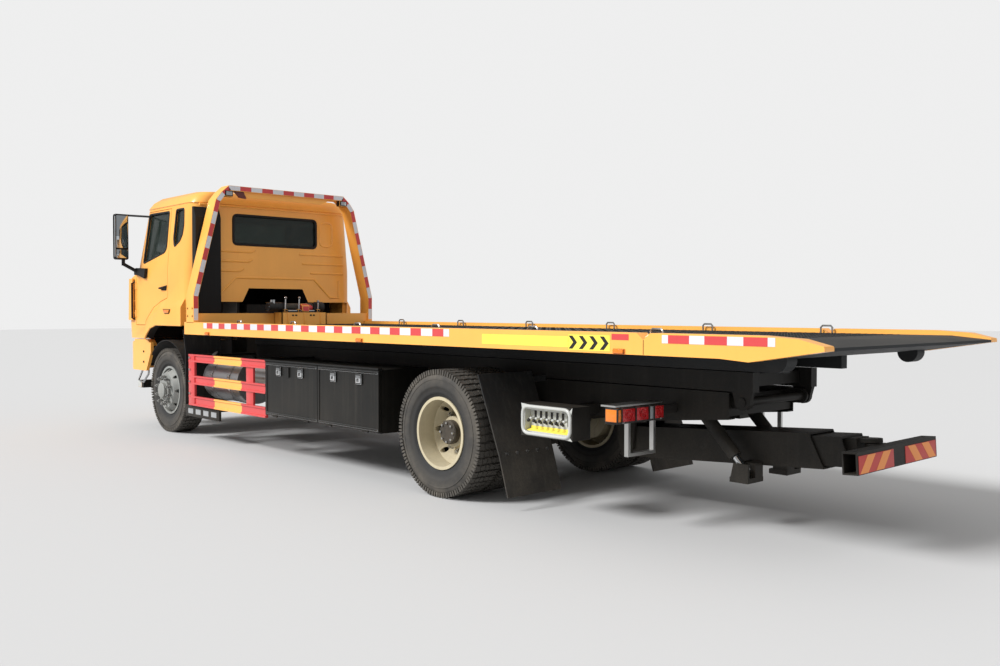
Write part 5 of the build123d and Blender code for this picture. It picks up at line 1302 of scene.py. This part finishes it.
def flank_details():
    """The wings' lips and side lamps."""
    parts = Shape("orange", "amber_lens", "plastic")
    y = FLANK_Y + WING_OUT
    lip = [(-0.598, 1.344), (0.15, 1.344), (0.33, 1.302), (0.45, 1.217), (0.498, 1.162)]
    parts.pipe([(FRONT_X + x, y - 0.010, z) for x, z in lip], 0.012, 0)
    lamp = [(-0.092, 1.540), (-0.315, 1.537), (-0.280, 1.482), (-0.143, 1.481)]
    parts.prism([(FRONT_X + x, z) for x, z in lamp], "Y", y - 0.004, y + 0.004, 2)
    lens_shape = [(-0.118, 1.532), (-0.292, 1.530), (-0.268, 1.490), (-0.150, 1.489)]
    parts.prism([(FRONT_X + x, z) for x, z in lens_shape], "Y", y, y + 0.016, 1, 0.004)
    parts.twin().made("flank_details", "cab", "body_paint")


def front_x(y, z):
    """The cab's front face at a place across and up."""
    lean = 0.0 if z < 1.95 else min(1.0, (z - 2.04) / 0.76) * 0.215 + 0.28
    return CAB_HIGH.x - 0.05 - lean + 0.05 * (1 - (y / 0.95) ** 2)


def cab_front():
    """Wipers, grille frame, marker lamps, grab handles and the dark panel behind the grille."""
    parts = Shape("plastic", "amber_lens", "seal")
    lean = Matrix.Rotation(math.radians(-32), 4, "X")
    for y in (-0.55, 0.15):
        foot = Vector((front_x(y, 2.06) + 0.02, y, 2.07))
        parts.rod(foot - Vector((0.05, 0, 0.02)), foot + Vector((0.012, 0, 0.01)), 0.018)
        tip = Vector((front_x(y + 0.35, 2.3) + 0.03, y + 0.38, 2.30))
        parts.pipe([foot, foot + (tip - foot) * 0.5 + Vector((0.012, 0, 0)), tip], 0.008)
        parts.block(tip - Vector((0.012, 0.26, 0.012)), tip + Vector((0.0, 0.20, 0.012)), 2, 0.004, lean)
    for z in (1.345, 1.865):
        parts.pipe([(front_x(y, 1.9) - 0.012, y, z) for y in [-0.78 + 0.13 * step for step in range(13)]], 0.011)
    for y in (-0.72, -0.36, 0.0, 0.36, 0.72):
        x, z = CAB_HIGH.x - 0.05 - 0.50, 2.915 - abs(y) * 0.03
        parts.block((x - 0.06, y - 0.045, z - 0.03), (x + 0.03, y + 0.045, z + 0.012), 1, 0.008)
    x = FRONT_X + 0.93
    for side in (-1, 1):
        parts.pipe([(x, side * 1.135, 1.40), (x + 0.01, side * 1.185, 1.42), (x + 0.01, side * 1.185, 1.88),
                    (x, side * 1.135, 1.90)], 0.013)
    parts.block((GRILLE_BACK[0], -0.84, 1.30), (GRILLE_BACK[1], 0.84, 1.90), 0, 0.004)
    parts.made("front_fittings", "cab", "trim_plastic")


def cab_interior():
    """Instruments, steering boss, gear lever, head rests, seat seams and the bunk inside the cab."""
    parts = Shape("plastic", "chrome", "cloth")
    x = FRONT_X
    parts.block((x + 0.66, 0.52, 2.03), (x + 0.80, 0.96, 2.10), 0, 0.02)
    parts.ball((x + 0.545, 0.74, 2.022), 0.055, 0, 16, (0.6, 1, 1))
    parts.rod((x + 0.35, 0.30, 1.85), (x + 0.32, 0.30, 2.10), 0.012, 1)
    parts.ball((x + 0.32, 0.30, 2.12), 0.03, 0, 14)
    for y in (-0.74, 0.74):
        parts.block((x - 0.14, y - 0.20, 2.49), (x - 0.06, y + 0.20, 2.66), 2, 0.03)
        for shift in (-0.13, 0.13):
            parts.pipe([(x - 0.14, y + shift, 1.845), (x + 0.34, y + shift, 1.845)], 0.006, 2)
    parts.block((x - 0.66, -1.0, 1.86), (x - 0.30, 1.0, 1.98), 2, 0.03)
    parts.made("cab_interior", "cab", "seat_cloth")


# Chassis dressing


LINER_OUTER, LINER_INNER = 0.628, 0.620
BUMPER_SIDE_Y = 1.148
BUMPER_BOLT_X = 4.462
# places along and up of the bent step under the bumper's corner
BENT_STEP = ((4.425, 0.745), (4.440, 0.690), (4.600, 0.580), (4.760, 0.600), (4.620, 0.745))
GUARD_FACE_Y = 1.22


def wheel_arch_liners():
    """Liners over, beside and ahead of the front tyres, dark partly as painted shade, and the cab's front mounting
    beam.
    """
    parts = Shape("plastic", "black")
    arc = [math.radians(30 + 120 * step / 14) for step in range(15)]
    outline = [(FRONT_X + radius * math.cos(turn), FRONT_AXLE.z + radius * math.sin(turn))
               for radius, turns in ((LINER_OUTER, arc), (LINER_INNER, arc[::-1])) for turn in turns]
    parts.prism(outline, "Y", 0.62, 1.13)
    # the wall beside the tyres and the plate ahead of them close the view through the arches: their black is partly
    # painted shade
    wall = [(-0.70, 0.97), (0.64, 0.97), (0.64, 1.33), (-0.70, 1.33)]
    parts.prism([(FRONT_X + x, z) for x, z in wall], "Y", 0.585, 0.60)
    parts.block((FRONT_X + 0.625, 0.60, 0.80), (FRONT_X + 0.64, 1.07, 1.30), 0, 0.004)
    parts.twin()
    parts.block((FRONT_X + 0.66, -0.84, 0.93), (FRONT_X + 0.80, 0.84, 1.145), 1, 0.01)
    parts.made("wheel_arch_liners", "chassis", "trim_plastic")


def bumper_dressing():
    """The bumper's upper lip and side bolts, the bent steps under it and the end caps of the bar below."""
    parts = Shape("orange", "seal", "aluminium", "panel_white")
    low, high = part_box("front_bumper")
    foot, front = high.z - 0.04, high.x - 0.27
    parts.prism([(low.x, foot), (front, foot), (front, 1.148), (low.x + 0.10, 1.148)], "Y", 1.06, BUMPER_SIDE_Y)
    for z in (0.855, 0.989):
        parts.rod((BUMPER_BOLT_X, 1.146, z), (BUMPER_BOLT_X, 1.158, z), 0.014, 1, sides=6)
    parts.pipe([(x, 1.10, z) for x, z in BENT_STEP], 0.013, 2)
    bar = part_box("chassis_frame")[1]
    parts.block((bar.x - 0.125, bar.y - 0.002, 0.505), (bar.x - 0.005, bar.y + 0.005, 0.595), 3, 0.002)
    parts.twin().made("bumper_fittings", "chassis", "body_paint")


def tank_dressing():
    """The tank's cap and strap ends."""
    parts = Shape("seal", "bright_steel")
    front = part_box("tanks")[1].x
    parts.rod((front - 0.2, 0.98, 0.93), (front - 0.2, 1.06, 1.02), 0.045, 0, 20)
    for along in (0.25, 0.75):
        x = front - 0.85 * (1 - along)
        for y, z in ((1.10, 0.78), (1.09, 0.64)):
            parts.block((x - 0.028, y - 0.012, z - 0.02), (x + 0.028, y + 0.012, z + 0.02), 1, 0.003)
    parts.made("tank_fittings", "chassis", "tank_metal")


def step_plate():
    """The black plates with four light rectangles under the guards' fronts."""
    parts = Shape("black", "panel_silver")
    front, y = REAR_X + 4.80, 1.19
    parts.block((front - 0.86, y - 0.03, 0.27), (front + 0.02, y, 0.405), 0, 0.006)
    for x in (front - 0.70, front - 0.10):
        parts.block((x - 0.03, y - 0.3, 0.36), (x + 0.03, y - 0.02, 0.42))
    for number in range(4):
        x = front - 0.13 - number * 0.20
        parts.block((x - 0.066, y - 0.001, 0.305), (x + 0.066, y + 0.002, 0.366), 1, 0.0008)
    parts.twin().made("step_plates", "chassis", "black_paint")


def guard_frames():
    """The side guards: three channel rails in front of two posts, with arms to the frame."""
    front, rear = REAR_X + 4.66, REAR_X + 2.83
    outer, inner, lip, depth = GUARD_FACE_Y, 1.18, 0.018, 0.012
    frames = Shape("guard_red", "black")
    for low, high in ((0.41, 0.52), (0.66, 0.76), (0.92, 1.01)):
        profile = [(outer - 0.035, low), (outer, low), (outer, low + lip), (outer - depth, low + lip + 0.006),
                   (outer - depth, high - lip - 0.006), (outer, high - lip), (outer, high), (outer - 0.035, high)]
        frames.prism(profile, "X", rear + 0.002, front)
    frames.block((front - 0.155, outer - 0.030, 0.41), (front, outer - 0.0005, 1.01), 0, 0.004)
    frames.block((rear + 0.285, inner, 0.41), (rear + 0.44, outer - 0.014, 1.01), 0, 0.004)
    for x in (front - 0.12, rear + 0.36):
        frames.block((x - 0.03, 0.43, 0.985), (x + 0.03, inner + 0.01, 1.008), 1)
        frames.block((x - 0.03, 0.43, 0.76), (x + 0.03, 0.446, 1.008), 1)
    frames.twin().made("guard_frames", "chassis", "guard_paint", "side_guards")


def bolt_row(name, slot, look, count, start, step, *rod, sides):
    """A row of bolt heads on the chassis, each a short rod."""
    seed = Shape()
    seed.rod(*rod, sides=sides)
    grown(name, ROW, "chassis", slot, look, seed, Count=count, Start=start, Step=step)


def guard_bolts():
    """Bolts on the side guards' posts."""
    for name, side in SIDES:
        bolt_row("guard_bolts_" + name, "rod_chrome", "bright_steel", 4, (REAR_X + 4.62, side * GUARD_FACE_Y, 0.55),
                 (0.0, 0.0, 0.14), (0, side * -0.002, 0), (0, side * 0.012, 0), 0.013, sides=6)


def box_dressing():
    """Latches, pulls and edge trims of the tool box doors."""
    for name, side in SIDES:
        face = side * GUARD_FACE_Y
        for place in ("rear", "front"):
            node = "box_door_%s_%s" % (name, place)
            low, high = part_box(node)
            parts = Shape("chrome", "box_black", "seal")
            for share in (0.30, 0.72):
                x = low.x + (high.x - low.x) * share
                for reach, z0, z1, back, out, look, bevel in (
                        (0.045, 0.86, 0.955, 0.004, 0.010, 1, 0.004), (0.036, 0.872, 0.943, 0.0, 0.016, 0, 0.004),
                        (0.012, 0.882, 0.915, 0.0, 0.022, 2, 0.003)):
                    parts.block((x - reach, face - side * back, z0), (x + reach, face + side * out, z1), look, bevel)
            for z in (0.47, 0.975):
                parts.block((low.x + 0.012, face - side * 0.004, z - 0.010),
                            (high.x - 0.012, face + side * 0.003, z + 0.010), 1, 0.002)
            parts.made(node + "_fittings", node, "rod_chrome")


# inset of the panels' recess from their ends, and its foot and top
RECESS = (0.02, 0.62, 0.82)


def lever_dressing():
    """The control panels' rounded frame, slots, levers and yellow foot."""
    parts = Shape("panel_white", "seal", "warning_yellow", "chrome")
    low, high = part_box("lever_panels")
    y, back = 1.15, 1.092
    inset, foot, top = RECESS
    rear, front = low.x + inset, high.x - inset
    outline = rounded([(rear, foot), (front, foot), (front, top), (rear, top)], 0.06, 6)
    parts.pipe([(x, y + 0.002, z) for x, z in outline], 0.014, 0, 10, True)
    for number in range(7):
        x = low.x + 0.09 + number * 0.056
        parts.block((x - 0.010, back - 0.002, 0.69), (x + 0.010, back + 0.002, 0.785), 1)
        parts.rod((x, back, 0.735), (x, y + 0.012, 0.722), 0.0055, 3)
        parts.ball((x, y + 0.016, 0.720), 0.014, 1, 12)
    parts.block((low.x + 0.05, back - 0.001, 0.640), (high.x - 0.05, back + 0.004, 0.672), 2)
    parts.prism([(back, 0.640), (y - 0.004, 0.640), (back, 0.655)], "X", low.x + 0.05, high.x - 0.05, 2)
    parts.twin().made("lever_fittings", "chassis", "panel_paint")


def paint(node, first, second, is_second):
    """Two finishes on a solid, the second one on the faces whose middle is told to have it."""
    mesh = NODES[node].data
    mesh.materials.clear()
    for look in (first, second):
        mesh.materials.append(FINISH[look])
    for face in mesh.polygons:
        face.material_index = int(is_second(face.center))


def paint_lever_panels():
    """Black outsides on the control panels' boxes, and white in their recesses."""
    low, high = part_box("lever_panels")
    inset, foot, top = RECESS
    paint("lever_panels", "panel_white", "black", lambda place: not (
        low.x + inset < place.x < high.x - inset and foot < place.z < top and abs(place.y) > 1.05))
def tail_lamp_dressing():
    """Amber ends, round red lenses and clear ones on the tail lamps."""
    parts = Shape("plastic", "red_lens", "amber_lens", "clear_lens", "bright_steel")
    x = REAR_X - 1.86
    low, high = 0.770, 0.872
    parts.block((x - 0.012, 0.672, low - 0.008), (x + 0.02, 1.178, high + 0.006), 0, 0.006)
    parts.block((x - 0.030, 1.145, low), (x + 0.085, 1.192, high), 2, 0.010)
    for y0, y1, look in ((0.995, 1.140, 1), (0.850, 0.990, 1), (0.795, 0.845, 3), (0.680, 0.790, 1)):
        parts.block((x - 0.026, y0, low), (x + 0.01, y1, high), look, 0.008)
        centre = (x - 0.024, (y0 + y1) / 2, (low + high) / 2)
        for radius in (0.043, 0.026) if y1 - y0 > 0.09 else ():
            parts.lathe(centre, (-1, 0, 0), [(0.0, radius), (0.007, radius - 0.002), (0.007, radius - 0.008),
                                             (0.0, radius - 0.010)], look, 28, True)
    for y in (0.72, 1.13):
        parts.rod((x - 0.034, y, low + 0.004), (x - 0.02, y, low + 0.004), 0.006, 4, sides=6)
    parts.twin().made("tail_lamp_lenses", "chassis", "lamp_lens")


def paint_tail_lamps():
    """Grey steel on the lamps' steps and covers, and black on their housings."""
    paint("tail_lamps", "plastic", "bright_steel", lambda place: place.z < 0.759 or place.z > 0.8785)


def crossbar_plates():
    """Red plates with orange diagonals on the crossbar's rear face."""
    low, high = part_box("crossbar")
    plates = Shape("plate_red", "plate_orange")
    height, width = 0.112, 0.105
    foot_z, top_z = -height / 2 + 0.002, height / 2 - 0.002
    for y0, y1, direction in ((0.085, 0.555, -1), (-0.555, -0.085, 1)):
        plates.block((-0.004, y0, -height / 2), (0.0, y1, height / 2), 0, 0.0005)
        lean = height * 0.95 * direction
        for foot in (0.145, 0.355):
            start = y0 + foot if direction < 0 else y1 - foot - width
            corners = [(start, foot_z), (start + width, foot_z), (start + width + lean, top_z), (start + lean, top_z)]
            held = [(min(max(y, y0 + 0.003), y1 - 0.003), z) for y, z in corners]
            plates.prism(held, "X", -0.0052, -0.0035, 1)
    turn = Matrix.Rotation(math.radians(3.5), 4, "Y")
    centre = Vector((low.x + 0.0045, 0, (low.z + high.z) / 2 - 0.006))
    for vert in plates.mesh.verts:
        vert.co = centre + turn @ vert.co
    plates.made("crossbar_plates", "crossbar", "guard_paint")


def frame_bolts():
    """Rows of bolts along the chassis rails."""
    for name, side in SIDES:
        for row_name, z in (("upper", 0.905), ("lower", 0.755)):
            bolt_row("frame_bolts_%s_%s" % (name, row_name), "cast_metal", "cast", 46,
                     (FRONT_X + 0.9, side * 0.43, z), (-0.142, 0.0, 0.0), (0, side * -0.002, 0),
                     (0, side * 0.010, 0), 0.012, sides=6)


def spring_clamps():
    """U bolts and spring plates on the four axle seats, and the rear brake chambers."""
    parts = Shape("cast", "black")
    for axle_x, top, low in ((FRONT_X, 0.535, 0.36), (REAR_X, 0.665, 0.44)):
        parts.block((axle_x - 0.09, 0.345, top), (axle_x + 0.09, 0.435, top + 0.025), 0, 0.004)
        for x in (-0.065, 0.065):
            for y in (0.347, 0.433):
                parts.rod((axle_x + x, y, low), (axle_x + x, y, top + 0.04), 0.010, 0, 10)
        parts.block((axle_x - 0.09, 0.335, low - 0.012), (axle_x + 0.09, 0.445, low + 0.008), 0, 0.004)
    parts.rod((REAR_X - 0.16, 0.50, 0.60), (REAR_X - 0.40, 0.50, 0.64), 0.075, 1, 24, bevel=0.01)
    parts.twin().made("spring_clamps", "chassis", "cast_metal")


def flap_bolts():
    """Bright bolts along the rear mudguards' foot."""
    for name, side in SIDES:
        bolt_row("flap_bolts_" + name, "rod_chrome", "bright_steel", 5, (REAR_X - 0.702, side * 0.66, 0.425),
                 (0.0, side * 0.11, 0.0), (0.0, 0, 0), (-0.014, 0, 0.004), 0.012, sides=10)


# Scene


def floor_look():
    """A pale floor that keeps the truck's shadow."""
    material, tree, shader = blank("floor")
    feed(tree, shader, {"Roughness": 0.95, "Base Color": (0.5, 0.5, 0.5, 1)})
    return material


def shown(name, data):
    """An object of the stage, put in the scene."""
    item = bpy.data.objects.new(name, data)
    bpy.context.scene.collection.objects.link(item)
    return item


def set_stage():
    """The floor, the lights, the world and the camera."""
    scene = bpy.context.scene
    floor = bpy.data.meshes.new("floor")
    reach = FLOOR_REACH
    floor.from_pydata([(-reach, -reach, 0), (reach, -reach, 0), (reach, reach, 0), (-reach, reach, 0)], [],
                      [(0, 1, 2, 3)])
    floor.materials.append(floor_look())
    ground = shown("floor", floor)
    sun = bpy.data.lights.new("sun", "SUN")
    sun.energy = SUN_STRENGTH
    sun.angle = SUN_ANGLE
    lamp = shown("sun", sun)
    lamp.rotation_euler = Vector(SUN_FROM).to_track_quat("Z", "Y").to_euler()
    scene.world = bpy.data.worlds.new("studio")
    scene.world.use_nodes = True
    tree = scene.world.node_tree
    tree.nodes.clear()
    path = add(tree, "ShaderNodeLightPath").outputs
    seen = sums(tree, "MAXIMUM", path["Is Camera Ray"], path["Is Transmission Ray"])
    lit = between(tree, path["Is Glossy Ray"], SKY_STRENGTH, MIRRORED_STRENGTH)
    shade = (BACKDROP_GREY, BACKDROP_GREY, BACKDROP_GREY, 1)
    sky = add(tree, "ShaderNodeBackground", {"Color": shade, "Strength": between(tree, seen, lit, 1.0)})
    add(tree, "ShaderNodeOutputWorld", {"Surface": sky.outputs[0]})
    eye = bpy.data.cameras.new("camera")
    eye.sensor_width = 36
    eye.lens = CAMERA_LENS
    eye.clip_end = 300
    scene.camera = camera = shown("camera", eye)
    level = math.cos(CAMERA_PITCH)
    way = Vector((math.cos(CAMERA_YAW) * level, math.sin(CAMERA_YAW) * level, math.sin(CAMERA_PITCH)))
    turn = way.to_track_quat("-Z", "Y").to_matrix().to_4x4() @ Matrix.Rotation(CAMERA_ROLL, 4, "Z")
    camera.matrix_world = Matrix.Translation(CAMERA_PLACE) @ turn
    scene.view_settings.view_transform = "Standard"


for build in (
        dress_solids, cab_skin, cab_doors, corner_deflectors, tyres, wheel_fittings, rail_markings, rail_lamps,
        tie_down_loops, deck_plate, hoop_frame, hoop_tape, hoop_lamps, winch_dressing, rear_wall_ribs, window_seals,
        door_fittings, flank_details, cab_front, cab_interior, wheel_arch_liners, bumper_dressing, tank_dressing,
        step_plate, guard_frames, guard_bolts, box_dressing, lever_dressing, paint_lever_panels, paint_tail_lamps,
        tail_lamp_dressing, crossbar_plates, frame_bolts, spring_clamps, flap_bolts, set_stage):
    build()
